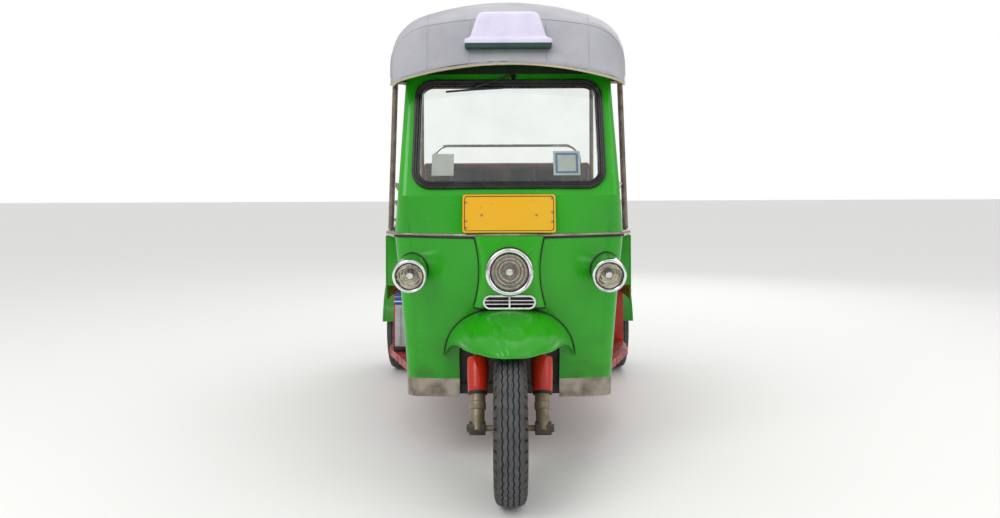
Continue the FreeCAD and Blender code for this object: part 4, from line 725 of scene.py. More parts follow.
def roof_tubes():
    """The cover's steel frame: edge rails, posts, bows bent to the arches, and the feet on the cab header."""
    rails, posts, feet = [], [], []
    for side in (-1, 1):
        ends = [rail_point(index, side) for index in range(len(ROOF))]
        ends[0] = ends[0].lerp(ends[1], 0.5)
        ends[-1] = ends[-2].lerp(ends[-1], 0.9)
        rails.append(softened(evenly(ends, 80), 3))
        for index, foot in ((3, (side * 0.542, -0.150, 0.8763)), (5, (side * 0.532, 1.190, 0.5803))):
            posts.append([Vector(foot), rail_point(index, side) - Vector((0, 0, 0.004))])
        for inner, low in ((0.376, 1.5053), (0.404, 1.4830)):
            ends = sorted((side * inner, side * 0.446))
            feet.append(((ends[0], -0.700, low), (ends[1], -0.640, 1.5213), 0.002))
    made = bead("roof_rails", rails, 0.012, TUBE)
    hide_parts("roof_frame")
    bead("roof_posts", posts, 0.013, TUBE)
    bows = []
    for station in (430, 600, 1000, 1700, 2340, 2428):
        low = roof_values(station)[1] + RAIL_UP
        bows.append([at_station(x, station, z) for x, z in roof_row(station, 20) if z >= low])
    bead("roof_bows", bows, 0.011, TUBE)
    front = [at_station(x, 312, z) for x, z in roof_row(312, 10)]
    bead("roof_front_bow", [front[2:-2]], 0.005, BLACK)
    slabs("roof_feet", feet, BLACK)


roof_tubes()
COVER_SKIN = skin_tree(roof_cover().data)


def on_cover(station, share):
    """The nearest point of the cover's own mesh to a place on the roof."""
    return COVER_SKIN.find_nearest(cloth_point(station, share))[0]


def cover_at(station, x):
    """A point of the cover's own mesh over a place across, in millimetres."""
    z = min(roof_row(station), key=lambda spot: abs(spot.x - x)).y
    return COVER_SKIN.find_nearest(Vector((x, AXLE_Y + station, z)) * MM)[0]


def cover_seams():
    """Welted seams on the cover, the cream piping along its hem, and two screws in its front edge."""
    welts = []
    for side in (-1, 1):
        # outer seams run back over the roof, inner ones stop at the first bow
        for x, spread, end, count in ((305, 55, 1700, 60), (147, 0, 430, 12)):
            stations = [302 + (end - 302) * k / count for k in range(count + 1)]
            welts.append([cover_at(at, side * (x + spread * min(1, (at - 302) / 700))) for at in stations])
    for station in (430, 1000, 1700, 2340):
        welts.append([on_cover(station, 0.02 + 0.96 * k / 70) for k in range(71)])
    bead("cover_seams", welts, 0.0022, CLOTH)
    front, back = FIRST + 1, LAST - 1
    hem = [[on_cover(front, k / 90) for k in range(91)]]
    for share in (1.0, 0.0):
        hem.append([on_cover(front + k * (back - front) / 90, share) for k in range(91)])
    hem.append([on_cover(back, k / 60) for k in range(61)])
    bead("cover_piping", hem, 0.0032, WELT)
    screws = [from_ahead(COVER_SKIN, x, z) for x, z in ((0.0, 1.531), (0.252, 1.512))]
    bolts("cover_screws", screws, 0.0045, 0.003, sides=16)


cover_seams()

# ---------------------------------------------------------------- front body: faces to seat trim on

FRONT = skin_tree(*(nodes[name].data for name in ("front_shell", "windscreen_surround", "nose_panel")))


def through_three(z, rows):
    """Each value of three rows (height, values...) carried smoothly to another height."""
    (a, *first), (b, *second), (c, *third) = rows
    shares = ((z - b) * (z - c) / (a - b) / (a - c), (z - a) * (z - c) / (b - a) / (b - c),
              (z - a) * (z - b) / (c - a) / (c - b))
    return [sum(share * value for share, value in zip(shares, values)) for values in zip(first, second, third)]


# height, half width, front station, bow, corner radius, all in millimetres
SHELL_ROWS = [(335, 396, 345, 25, 50), (650, 417, 250, 85, 60), (885, 440, 200, 120, 70)]
# height, half width
NOSE_ROWS = [(628, 130), (705, 113), (885, 127)]


def shell_front(x, z):
    """The Y of the lower front panel's face straight behind a place, in metres."""
    wide, front, bow, corner = through_three(z / MM, SHELL_ROWS)
    across, flat = abs(x) / MM, wide - corner
    return (AXLE_Y + front + bow * min(1, across / flat) ** 2 + rounded_off(across - flat, corner)) * MM


def ahead_of(x, z, stand_off=0.0):
    """The first place met on the front body from straight ahead, moved off it; None where there is none."""
    place, normal = from_ahead(FRONT, x, z)
    return None if place is None else place + normal * stand_off


# ---------------------------------------------------------------- mudguard

RAKE = math.radians(26)
FOOT = Vector((0, -1.114048, 0.232465))
UP_STEM = Vector((0, math.sin(RAKE), math.cos(RAKE)))
AHEAD = Vector((0, -math.cos(RAKE), math.sin(RAKE)))
# station, half width, rim height, crown height
HOOD_ROWS = [(-123, 6, 512, 515), (-118, 24, 512, 522), (-100, 62, 512, 541), (-66, 92, 512, 564),
             (0, 144, 512, 590), (118, 188, 511, 614), (240, 224, 478, 622), (385, 256, 402, 606)]


def along_rows(rows, run):
    """A smooth curve through the rows, at a place from 0 to the last row's index."""
    index = min(int(run), len(rows) - 2)
    share = run - index
    picks = [rows[min(max(index + step, 0), len(rows) - 1)] for step in (-1, 0, 1, 2)]
    return [0.5 * (2 * b + (c - a) * share + (2 * a - 5 * b + 4 * c - d) * share ** 2
                   + (3 * b - a - 3 * c + d) * share ** 3) for a, b, c, d in zip(*picks)]


def hood_point(run, turn):
    """A point of the mudguard: run back from its lip, turn from 0 at the left rim to pi at the right rim."""
    station, wide, rim, crown = along_rows(HOOD_ROWS, run)
    power = 2 / 2.13
    x = wide * math.copysign(abs(math.cos(turn)) ** power, math.cos(turn))
    return at_station(x, station, rim + (crown - rim) * math.sin(turn) ** power)


# across, height of the centre, radius, depth of the dents, in metres
DENTS = [(-0.060, 0.540, 0.026, 0.005), (0.052, 0.532, 0.030, 0.004), (-0.018, 0.520, 0.014, 0.004),
         (0.085, 0.560, 0.036, 0.003), (-0.105, 0.558, 0.034, 0.003), (0.030, 0.575, 0.030, 0.002)]


def knocked(spot):
    """How far the mudguard's skin stands out at a place: its crease, its dents and its waves."""
    crest = -0.004 - 0.024 * min(1, max(0, (spot.z - 0.51) / 0.10))
    fade = min(1, max(0, (0.618 - spot.z) / 0.02)) * min(1, max(0, (spot.z - 0.512) / 0.01))
    ridge = math.exp(-((spot.x - crest) / 0.012) ** 2)
    hollow = math.exp(-((spot.x - crest + 0.020) / 0.011) ** 2)
    push = (0.0045 * ridge - 0.0035 * hollow) * (fade if spot.y < -0.98 else 0)
    for x, z, wide, deep in DENTS:
        reach = math.hypot(spot.x - x, spot.z - z) / wide
        if spot.y < -1.0 and reach < 2.5:
            push -= deep * math.exp(-reach ** 2)
    return push + 0.0012 * noise.noise(spot * 11)


def mudguard():
    """The domed hood with a pressed crease down its nose, the knocks it has taken, and a wired edge."""
    columns, rows = 88, 64
    bm = bmesh.new()
    grid, joint = [], []
    for column in range(columns + 1):
        turn = math.pi * column / columns
        # how far back the column runs before it meets the panel, by halving
        low, high = 1.0, len(HOOD_ROWS) - 1.0
        for _ in range(24):
            middle = (low + high) / 2
            spot = hood_point(middle, turn)
            if spot.y < shell_front(spot.x, spot.z):
                low = middle
            else:
                high = middle
        line = []
        for row in range(rows + 1):
            spot = hood_point(low * (row / rows) ** 1.3, turn)
            out = Vector((spot.x * 0.8, -0.04, spot.z - 0.40)).normalized()
            line.append(bm.verts.new(spot + out * knocked(spot) * min(1, row / 4)))
        grid.append(line)
        joint.append(line[-1].co.copy())
    strips(bm, grid)
    stem = []
    for face in bm.faces:
        reach = face.calc_center_median() - FOOT
        if (reach - UP_STEM * reach.dot(UP_STEM)).length < 0.030:
            stem.append(face)
    bmesh.ops.delete(bm, geom=stem, context="FACES")
    rim = [v.co.copy() for v in grid[0]][::-1] + [v.co.copy() for v in grid[-1]][1:]
    made = piece("mudguard_skin", bm, GREEN, sharp=60)
    walled(made, 0.0025, -1)
    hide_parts("front_mudguard")
    bead("mudguard_wired_edge", [softened(evenly(rim, 120))], 0.0032, GREEN)
    joint = [spot + Vector((spot.x, -0.02, spot.z - 0.43)).normalized() * 0.002 for spot in softened(joint)]
    bead("mudguard_piping", [joint], 0.0036, PIPING)


mudguard()


# ---------------------------------------------------------------- belt moulding, nose trim

def belt_run(z, out):
    """The front body's outline at belt height, from the left pillar round the front to the right one."""
    wide, front, bow, corner = through_three(885, SHELL_ROWS)
    flat, back = wide - corner, front + bow + corner
    left = [(wide + out, back + (520 - back) * k / 4) for k in (4, 3, 2, 1)]
    for k in range(7):
        turn = math.pi / 2 * k / 6
        left.append((flat + (corner + out) * math.cos(turn), back - (corner + out) * math.sin(turn)))
    for k in range(1, 12):
        x = flat * (1 - k / 12)
        left.append((x, front + bow * (x / flat) ** 2 - out))
    run = left + [(0, front - out)] + [(-x, station) for x, station in reversed(left)]
    return evenly([at_station(x, station, z / MM) for x, station in run], 90)


def front_trim():
    """The belt moulding over its rubber, piping down both sides of the nose, and the nose's cap and folds."""
    bead("belt_moulding", [belt_run(0.8895, 2.5)], 0.0052, STRIP)
    bead("belt_rubber", [belt_run(0.8800, 1.0)], 0.0042, PIPING)
    sides, folds, shares = [], [], [k / 8 for k in range(9)]
    for side in (1, -1):
        run = []
        for k in range(25):
            z = 0.876 - (0.876 - 0.627) * k / 24
            x = through_three(z / MM, NOSE_ROWS)[0] * MM + 0.0022
            run.append(Vector((side * x, shell_front(x, z) - 0.0015, z)))
        sides.append(run)
        folds.append([ahead_of(side * (0.116 - 0.052 * share), 0.872 - 0.050 * share, -0.0012)
                      for share in shares])
    bead("nose_piping", sides, 0.0034, PIPING)
    foot = []
    for k in range(31):
        x = -0.130 + 0.260 * k / 30
        foot.append(Vector((x, -0.9585 + rounded_off(abs(x) - 0.098, 0.034), 0.6255)))
    bead("nose_foot_piping", [foot], 0.0034, PIPING)
    bm = bmesh.new()
    rows = [[], []]
    for k in range(21):
        x = -0.125 + 0.25 * k / 20
        front = -0.9665 + rounded_off(abs(x) - 0.093, 0.034)
        for row, y in zip(rows, (front, max(shell_front(x, 0.885) + 0.004, front + 0.001))):
            row.append(bm.verts.new((x, y, 0.8852)))
    strips(bm, rows)
    walled(piece("nose_cap", bm, GREEN), 0.003, 0)
    bead("nose_folds", folds, 0.0030, GREEN)


front_trim()


# ---------------------------------------------------------------- lamps

def lamp(name, centre, tilt, radius, lens, length, tail):
    """A bullet lamp: plated shell and rim, rubber bedding, reflector, bulb and pressed glass."""
    place = Matrix.Translation(centre) @ Matrix.Rotation(math.radians(tilt), 4, "X")

    def turned(profile, steps=72):
        bm = bmesh.new()
        spun(bm, [Vector((r, y, 0)) for r, y in profile], (0, 0, 0), (0, 1, 0), steps)
        bmesh.ops.remove_doubles(bm, verts=bm.verts, dist=WELD)
        bm.transform(place)
        return bm

    def around(r, y, turn):
        return place @ Vector((r * math.cos(turn), y, r * math.sin(turn)))

    def ring(r, y, count):
        return [around(r, y, math.tau * k / count) for k in range(count + 1)]

    rim = radius - lens
    outer = [(lens + 0.002, 0.008), (lens + 0.001, 0.0)]
    for k in range(1, 9):
        turn = math.pi * k / 8
        outer.append((lens + rim / 2 - rim / 2 * math.cos(turn), -0.45 * rim * math.sin(turn)))
    outer += [(radius + 0.0005, 0.006), (radius - 0.0015, 0.008), (radius - 0.001, 0.012)]
    for share in (k / 14 for k in range(1, 15)):
        narrow = math.sqrt(max(0.0, 1 - share ** 2.1))
        outer.append((tail + (radius - 0.001 - tail) * narrow, 0.012 + (length - 0.012) * share))
    inner = [(r - 0.002, y - 0.002) for r, y in outer[14:][::-1]] + [(lens + 0.006, 0.012)]
    bm = turned(outer + inner + [outer[0]])
    for vert in bm.verts:
        back = ahead_of(vert.co.x, vert.co.z)
        if back is not None:
            vert.co.y = min(vert.co.y, back.y + 0.002)
    shell = piece(f"{name}_shell", bm, CHROME, sharp=35)
    bedding = []
    for k in range(64):
        last = None
        for r, y in outer[11:]:
            spot = around(r + 0.0015, y, math.tau * k / 64)
            back = ahead_of(spot.x, spot.z)
            if back is not None and spot.y > back.y - 0.001:
                break
            last = spot
        if last is not None:
            back = ahead_of(last.x, last.z)
            if back is not None and back.y - last.y < 0.02:
                last.y = back.y
            bedding.append(last)
    bead(f"{name}_bedding", [softened(bedding + bedding[:2], 1)], 0.0030, PIPING)
    bead(f"{name}_seal", [ring(lens - 0.001, -0.001, 64)], 0.0028, RUBBER)
    deep = 0.62 * lens
    bowl = [(lens * math.sqrt(1 - k / 12), 0.010 + deep * k / 12) for k in range(1, 12)]
    bowl = [(lens + 0.001, 0.009)] + bowl + [(0.007, 0.010 + deep)]
    piece(f"{name}_reflector", turned(bowl), MIRROR, sharp=60)
    steps = [ring(lens * out, 0.010 + deep * (1 - out ** 2) - 0.0016, 48) for out in (0.86, 0.68, 0.50)]
    bead(f"{name}_reflector_steps", steps, 0.0012, MIRROR)
    curve = [((lens - 0.002) * k / 10, -0.12 * lens * (1 - (k / 10) ** 2)) for k in range(11)]
    back_face = [(r, y + 0.003) for r, y in reversed(curve)]
    dome = piece(f"{name}_glass", turned(curve + back_face), LENS, sharp=40)
    bulb = [(0.009 * math.sin(math.pi * k / 10), 0.021 - 0.009 * math.cos(math.pi * k / 10)) for k in range(8)]
    piece(f"{name}_bulb", turned(bulb + [(0.0065, 0.032), (0.0065, deep)], 24), SIGN, sharp=60)
    cap = [(0.0, 0.004), (0.011, 0.005), (0.0125, 0.010), (0.0115, 0.0105), (0.0, 0.0065)]
    piece(f"{name}_bulb_cap", turned(cap, 32), CHROME, sharp=40)
    return shell, dome


LAMPS = [("headlamp", (0.0, -1.032, 0.763), 0, 0.085, 0.068, 0.150, 0.040),
         ("left_side_lamp", (0.364, -0.938, 0.740), 12, 0.063, 0.051, 0.190, 0.016),
         ("right_side_lamp", (-0.364, -0.938, 0.740), 12, 0.063, 0.051, 0.190, 0.016)]
made_lamps = [lamp(*row) for row in LAMPS]
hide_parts("lamp_housings")
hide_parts("lamp_lenses")


# ---------------------------------------------------------------- roof sign

def ring_stack(bm, rings):
    """Closed rings of points joined one above the other, ends capped."""
    made = [[bm.verts.new(p) for p in ring] for ring in rings]
    for low, high in zip(made, made[1:]):
        for k in range(len(low)):
            n = (k + 1) % len(low)
            bm.faces.new((low[k], low[n], high[n], high[k]))
    bm.faces.new(made[0][::-1])
    bm.faces.new(made[-1])


def plan_ring(half, front, back, corner, z):
    """A round-cornered rectangle in plan, between a front and a back."""
    return [Vector((x, (front + back) / 2 + y, z)) for x, y in rounded(half, (back - front) / 2, corner)]


def sign():
    """A blank moulded lamp box: tapered body, a wide lip round its foot, and a dark tray under it."""
    # half width, front, height of each ring, in millimetres
    body = [(165.5, -849, 1608), (166.5, -850, 1610.5), (166.5, -850, 1621.5), (164, -848, 1625.5),
            (150, -842, 1630), (144, -839, 1636), (140, -837, 1648), (130, -833, 1680), (122, -830, 1705),
            (117.5, -828, 1717), (112, -825, 1725), (103, -819, 1730.5), (92, -811, 1733)]
    tray = [(160, -844, 1590), (164, -848, 1593), (165, -848.5, 1607), (162, -845, 1608.5)]
    for name, rows, material in (("sign_body", body, SIGN), ("sign_tray", tray, SIGN_BASE)):
        bm = bmesh.new()
        ring_stack(bm, [plan_ring(half * MM, front * MM, -0.735, 0.012, z * MM) for half, front, z in rows])
        bmesh.ops.recalc_face_normals(bm, faces=bm.faces)
        for vert in bm.verts:
            back = from_ahead(COVER_SKIN, vert.co.x, vert.co.z)[0]
            if back is not None:
                vert.co.y = min(vert.co.y, back.y + 0.0008)
        made = piece(name, bm, material, sharp=50)
        if name == "sign_body":
            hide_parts("roof_sign")


sign()


# ---------------------------------------------------------------- number plates

def plate(name, place):
    """A blank pressed plate facing forward at the origin, then set in place: raised rim, edges and bolts."""
    half_x, half_z, thick = 0.170, 0.071, 0.0022

    def ring(inset, out):
        return [Vector((x, out, z)) for x, z in rounded(half_x - inset, half_z - inset, 0.009)]

    bm = bmesh.new()
    rim = -thick - 0.0020
    ring_stack(bm, [ring(0, 0.0), ring(0, -thick), ring(0.0018, rim), ring(0.0048, rim), ring(0.0070, -thick)])
    bm.transform(place)
    made = piece(name, bm, PLATE, sharp=30)
    spots = ((-0.157, 0.042), (-0.157, -0.028), (-0.157, -0.052), (0.157, 0.056), (0.157, 0.004),
             (0.157, -0.030), (-0.100, -0.006), (0.100, -0.006))
    outward = place.to_3x3() @ Vector((0, -1, 0))
    heads = [(place @ Vector((x, -thick - 0.0004, z)), outward) for x, z in spots]
    bolts(f"{name}_bolts", heads, 0.0042, 0.0022, sides=12)
    for label, inset, out in (("edge", 0.0, -thick * 0.4), ("groove", 0.0078, -thick)):
        run = [place @ spot for spot in ring(inset, out)]
        bead(f"{name}_{label}", [run + run[:1]], 0.0012, BLACK)
    return made


# the panel under the windscreen leans back by SCUTTLE_RUN over SCUTTLE_RISE, from belt height
SCUTTLE_RISE, SCUTTLE_RUN, BELT = 0.150, 0.028, 0.885
PLATE_Z = 0.968
front_y = -0.950 + SCUTTLE_RUN * (PLATE_Z - BELT) / SCUTTLE_RISE - 0.0008
scuttle = Matrix.Rotation(-math.atan2(SCUTTLE_RUN, SCUTTLE_RISE), 4, "X")
front_plate = plate("front_plate", Matrix.Translation((0, front_y, PLATE_Z)) @ scuttle)
plate("rear_plate", Matrix.Translation((0, 1.2470, 0.749)) @ Matrix.Rotation(math.pi, 4, "Z"))
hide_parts("number_plates")


# ---------------------------------------------------------------- windscreen rubber, blank labels

# the pane's lower edge, half its height, and its lean back: a run over a rise
SCREEN_FOOT, SCREEN_HALF, SCREEN_RUN, SCREEN_RISE = (-0.922, 1.035), 0.2337, 0.182, 0.470
SCREEN = Matrix.Translation((0, SCREEN_FOOT[0] + SCREEN_RUN * SCREEN_HALF / SCREEN_RISE,
                             SCREEN_FOOT[1] + SCREEN_HALF)) \
    @ Matrix.Rotation(-math.atan2(SCREEN_RUN, SCREEN_RISE), 4, "X")


def on_pane(x, up, out):
    """A place on the pane: across and up from its middle, and standing out from it."""
    return SCREEN @ Vector((x, -out, up))


def screen_ring(inset, out):
    """A round-cornered run on the windscreen's opening, inset from its edge and standing out from it."""
    run = [on_pane(x, up, out) for x, up in rounded(0.3587 - inset, 0.2257 - inset, 0.0717 - inset, 5)]
    return run + run[:1]


def screen_rubber():
    """Rounded lips on both sides of the rubber, the locking strip between them, and two blank papers."""
    for name, inset, out, radius in (("outer_lip", 0.0056, 0.0060, 0.0066), ("inner_lip", 0.0225, 0.0050, 0.0052),
                                     ("locking_strip", 0.0140, 0.0085, 0.0042)):
        bead(f"gasket_{name}", [screen_ring(inset, out)], radius, GASKET)
    for name, left, right, low, high in (("left_paper", 0.166, 0.266, -0.170, -0.072),
                                         ("right_paper", -0.287, -0.205, -0.170, -0.082)):
        slabs(name, [((left, 0.0076, low), (right, 0.0084, high), 0.0003, 1)], PAPER, SCREEN)
    border = [((x0, 0.0072, z0), (x1, 0.0076, z1), 0.0001, 1) for x0, x1, z0, z1 in (
        (0.174, 0.258, -0.088, -0.080), (0.174, 0.258, -0.162, -0.154), (0.174, 0.182, -0.154, -0.088),
        (0.250, 0.258, -0.154, -0.088))]
    slabs("paper_border", border, PAPER_BLUE, SCREEN)


screen_rubber()


def wiper():
    """The wiper, parked along the top of the pane: a pivot on the header, an arm and a rubber blade."""
    arm = [on_pane(*spot) for spot in ((0.020, 0.241, 0.001), (0.020, 0.241, 0.020), (0.016, 0.239, 0.024),
                                       (-0.120, 0.187, 0.022), (-0.130, 0.182, 0.014))]
    made = bead("wiper_arm", [arm], 0.0036, BLACK)
    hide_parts("wiper")
    blade = [on_pane(*spot)
             for spot in ((-0.240, 0.172, 0.010), (-0.130, 0.180, 0.013), (-0.020, 0.188, 0.010))]
    bead("wiper_blade", [blade], 0.0040, RUBBER)
    outward = SCREEN.to_3x3() @ Vector((0, -1, 0))
    bolts("wiper_pivot", [(on_pane(0.020, 0.241, 0.0), outward)], 0.0100, 0.012, BLACK, sides=20)


wiper()


# ---------------------------------------------------------------- wheel house and body fittings

def wheel_house():
    """The black well behind the front wheel: an arched wall from the panel's cut-out back to a leaning end."""
    half, foot, crown = 0.1885, 0.300, 0.430
    outline = [(half, foot + (crown - foot) * k / 6) for k in range(6)]
    arch = [math.pi * k / 32 for k in range(33)]
    outline += [(half * math.cos(turn), crown + half * math.sin(turn)) for turn in arch]
    outline += [(-x, z) for x, z in outline[:6][::-1]]
    bm = bmesh.new()
    rows = []
    for k in range(9):
        rows.append([])
        for x, z in outline:
            front = shell_front(x, max(z, 0.336)) + 0.007
            back = -0.745 - (z - 0.324) * 0.224
            rows[-1].append(bm.verts.new((x, front + (back - front) * k / 8, z)))
    strips(bm, rows)
    bm.faces.new(rows[-1])
    walled(piece("wheel_house", bm, BLACK, sharp=50), 0.002, 1)


def body_fittings():
    """Pressed fronts on the side boxes, and the dark backing behind the grille's bars."""
    fronts = []
    for side in (-1, 1):
        low, high = sorted((side * 0.452, side * 0.5485))
        fronts.append(((low, -0.2295, 0.625), (high, -0.2255, 0.849), 0.0018))
        fronts.append(((low + 0.012, -0.2312, 0.640), (high - 0.012, -0.2290, 0.834), 0.0015))
    slabs("side_box_fronts", fronts, GREEN)
    bm = bmesh.new()
    columns = []
    for k in range(33):
        x = 0.0885 * (2 * k / 32 - 1)
        high = 0.0195 - rounded_off(abs(x) - 0.0695, 0.0195) + 0.0003
        spots = [(x, 0.650 + high * share) for share in (-1, -0.5, 0, 0.5, 1)]
        columns.append([bm.verts.new((x, ahead_of(x, z).y - 0.0015, z)) for x, z in spots])
    strips(bm, columns)
    walled(piece("grille_backing", bm, BLACK, sharp=60), 0.001, 0)


wheel_house()
body_fittings()


# ---------------------------------------------------------------- fork and handlebar fittings

# the fork tubes stand this far across, and this far ahead of the steering axis
TUBE_X, TUBE_AHEAD = 0.111, 0.040


def fork_point(run, forward, x):
    """A place on the fork: up the steering axis, ahead of it, and across."""
    return FOOT + UP_STEM * run + AHEAD * forward + Vector((x, 0, 0))


def on_fork(name, profile, material):
    """The same turned ring round both fork tubes, distances counted up the steering axis."""
    bm = bmesh.new()
    for x in (-TUBE_X, TUBE_X):
        turned_about(bm, fork_point(0, TUBE_AHEAD, x), UP_STEM, profile, 44, True)
    piece(name, bm, material, "fork", 35)


def fork_dress():
    """Painted covers over the upper tubes, dust seals, collars on the legs, lug rings and axle nuts."""
    on_fork("fork_covers", [(31.5, 121), (33.6, 121.2), (34.4, 123.5), (34.8, 135), (38, 186), (38.2, 236),
                            (37.2, 238.5), (30, 238.5), (30, 121)], CAST_RED)
    on_fork("fork_seals", [(30.5, 112), (32.6, 112.4), (33.2, 116), (32.2, 120.8), (22, 120.8), (22, 112)],
            RUBBER)
    on_fork("fork_collars", [(24.4, 60), (27.6, 62.2), (28.4, 65), (28.4, 85), (26.2, 88), (26.2, 111.9),
                             (22, 111.9), (22, 60)], LEG)
    lug = [(20, 83.5), (22.4, 84), (23, 86), (23, 135), (21.5, 138.5), (12, 138.5), (12, 83.5)]
    bm = bmesh.new()
    for side in (-1, 1):
        turned_about(bm, FRONT_HUB, (side, 0, 0), lug, 40, True)
    piece("fork_lug_rings", bm, OILY, "fork", 35)
    nuts = [(FRONT_HUB + Vector((side * 0.1383, 0, 0)), (side, 0, 0)) for side in (-1, 1)]
    bolts("front_axle_nuts", nuts, 0.0155, 0.0090, OILY, "fork")


def handlebar_dress():
    """Ribbed grips on the handlebar's ends, and a lever ahead of each."""
    profile = [(0, -3), (15, -3), (19, 0), (20, 6), (18, 10)]
    for k in range(15):
        profile += [(r, 12 + 6.2 * k + t) for r, t in ((17.2, 0), (18.2, 1.4), (18.2, 3.4), (17.2, 4.8))]
    profile += [(21.5, 106.5), (21.8, 111), (17, 113), (0, 113)]
    bm = bmesh.new()
    levers = []
    for side in (-1, 1):
        end, inner = fork_point(0.909, -0.080, side * 0.300), fork_point(0.919, 0.0, side * 0.130)
        way = (inner - end).normalized()
        turned_about(bm, end, way, profile, 32)
        # along the grip from its end, and ahead of it
        lever = [end + way * along + AHEAD * ahead for along, ahead in (
            (0.135, 0.0), (0.128, 0.020), (0.100, 0.031), (0.050, 0.033), (0.012, 0.036))]
        levers.append(softened(evenly(lever, 24), 3))
    piece("handlebar_grips", bm, GRIP, "fork", 40)
    bead("handlebar_levers", levers, 0.0045, CHROME, "fork")


fork_dress()
handlebar_dress()


# ---------------------------------------------------------------- wheel, tail and body fittings

def wheel_fittings():
    """Wheel nuts, valves, grease caps and the rolled edges of the rear fenders."""
    grease_cap = [(0, 64), (10, 63.4), (20, 60), (26.5, 54), (28.5, 48), (29, 34.5), (26.5, 34.5), (26.2, 48),
                  (24, 52.5), (18, 57.5), (9, 60.8), (0, 61.5)]
    for wheel, hub, _, _, rim, _, circle, stand_off, way in WHEELS:
        centre, body = Vector(hub), f"{wheel}_wheel"
        nuts = []
        for turn in (math.tau * k / 5 + 0.3 for k in range(5)):
            spot = Vector((way * stand_off, circle * math.cos(turn), circle * math.sin(turn)))
            nuts.append((centre + spot, (way, 0, 0)))
        bolts(f"{wheel}_wheel_nuts", nuts, 0.0105, 0.0100, body=body)
        valve = [centre + Vector((way * out, 0.0, inside - rim))
                 for out, inside in ((0.018, 0.004), (0.026, 0.018), (0.034, 0.030))]
        bead(f"{wheel}_valve", [valve], 0.0032, RUBBER, body)
        if wheel != "front":
            bm = bmesh.new()
            turned_about(bm, centre, (way, 0, 0), grease_cap, 48)
            piece(f"{wheel}_grease_cap", bm, SLEEK, body, 40)
    arch = [math.radians(11 + 158 * k / 60) for k in range(61)]
    edges = [[Vector((x, 0.950 + 0.299 * math.cos(turn), 0.265 + 0.299 * math.sin(turn))) for turn in arch]
             for x in (-0.545, -0.695, 0.545, 0.695)]
    bead("rear_fender_rolled_edges", edges, 0.0038, GREEN)


def tail_fittings():
    """Bright rings and domed red glasses on the tail lamps."""
    rim = [(42.3, 0), (47, 0), (47.6, 10), (46.8, 28), (44, 36.2), (40, 36.8), (38.8, 34), (42.3, 33.8)]
    dome = [(0, 46), (14, 45), (27, 41.8), (38, 36.2), (38.6, 33.8), (0, 33.8)]
    for name, profile, material, loop in (("tail_lamp_rims", rim, CHROME, True),
                                          ("tail_lamp_domes", dome, TAIL_RED, False)):
        bm = bmesh.new()
        for x in (-0.440, 0.440):
            turned_about(bm, Vector((x, 1.2465, 0.780)), (0, 1, 0), profile, 56, loop)
        piece(name, bm, material, sharp=40)


def battery():
    """The battery on the step: ribbed case, blue lid with plain bands, two posts, its tray and cables."""
    case = [((-0.5070, -0.2810, 0.3390), (-0.3990, -0.0230, 0.5460), 0.004)]
    for y in (-0.262 + 0.0408 * k for k in range(6)):
        case.append(((-0.5092, y, 0.365), (-0.5060, y + 0.014, 0.530), 0.0012, 2))
    for x in (-0.494, -0.460, -0.426):
        case.append(((x, -0.2832, 0.365), (x + 0.014, -0.2800, 0.530), 0.0012, 2))
    made = slabs("battery_case", case, CASE)
    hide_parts("battery_box")
    slabs("battery_lid", [((-0.5095, -0.2835, 0.5460), (-0.3965, -0.0205, 0.5920), 0.005)], CASE_LID)
    for name, low, high, material in (("white", 0.5560, 0.5650, PAPER), ("yellow", 0.5770, 0.5840, PLATE)):
        slabs(f"battery_band_{name}", [((-0.5099, -0.2840, low), (-0.3961, -0.0200, high), 0.004)], material)
    left, front, right, back, low, high, sheet = -0.5130, -0.2870, -0.3930, -0.0170, 0.3383, 0.3600, 0.0025
    tray = [((left, front, low), (right, back, 0.3425), 0.001)]
    for start, end in (((left, front), (right, front + sheet)), ((left, back - sheet), (right, back)),
                       ((left, front), (left + sheet, back)), ((right - sheet, front), (right, back))):
        tray.append(((*start, low), (*end, high), 0.0008, 2))
    slabs("battery_tray", tray, BLACK)
    bm = bmesh.new()
    for y in (-0.245, -0.060):
        post = [(0, 16), (7, 16), (8.2, 14), (9.5, -1), (0, -1)]
        turned_about(bm, Vector((-0.430, y, 0.592)), (0, 0, 1), post, 24)
    piece("battery_posts", bm, SLEEK, sharp=40)
    for name, y, end, material in (("red", -0.245, -0.200, RED_VINYL), ("black", -0.060, -0.110, PIPING)):
        run = [(-0.430, y, 0.604), (-0.405, y + 0.004, 0.616), (-0.365, (y + end) / 2, 0.598),
               (-0.320, end, 0.560), (-0.279, end, 0.540)]
        bead(f"battery_cable_{name}", [softened(evenly(run, 40), 4)], 0.0040, material)


wheel_fittings()
tail_fittings()
battery()


# ---------------------------------------------------------------- cushions

CLOTH_FRAMES = 20
# node, voxel size, cap on the cloth's movement, face, channel places across
CUSHIONS = [
    ("seat_cushion", 0.0060, 0.024, (0, 0, 1), [-0.354, -0.177, 0.0, 0.177, 0.354]),
    ("seat_backrest", 0.0060, 0.022, (0, -0.990, 0.139), [-0.354, -0.177, 0.0, 0.177, 0.354]),
    ("driver_cushion", 0.0055, 0.014, (0, 0, 1), [-0.130, 0.0, 0.130]),
    ("driver_backrest", 0.0055, 0.012, (0, -1, 0), [-0.125, 0.0, 0.125]),
]


def baked(holder):
    """Replaces a holder's mesh by what its modifiers make of it."""
    made = evaluated(holder)
    holder.modifiers.clear()
    holder.data = made


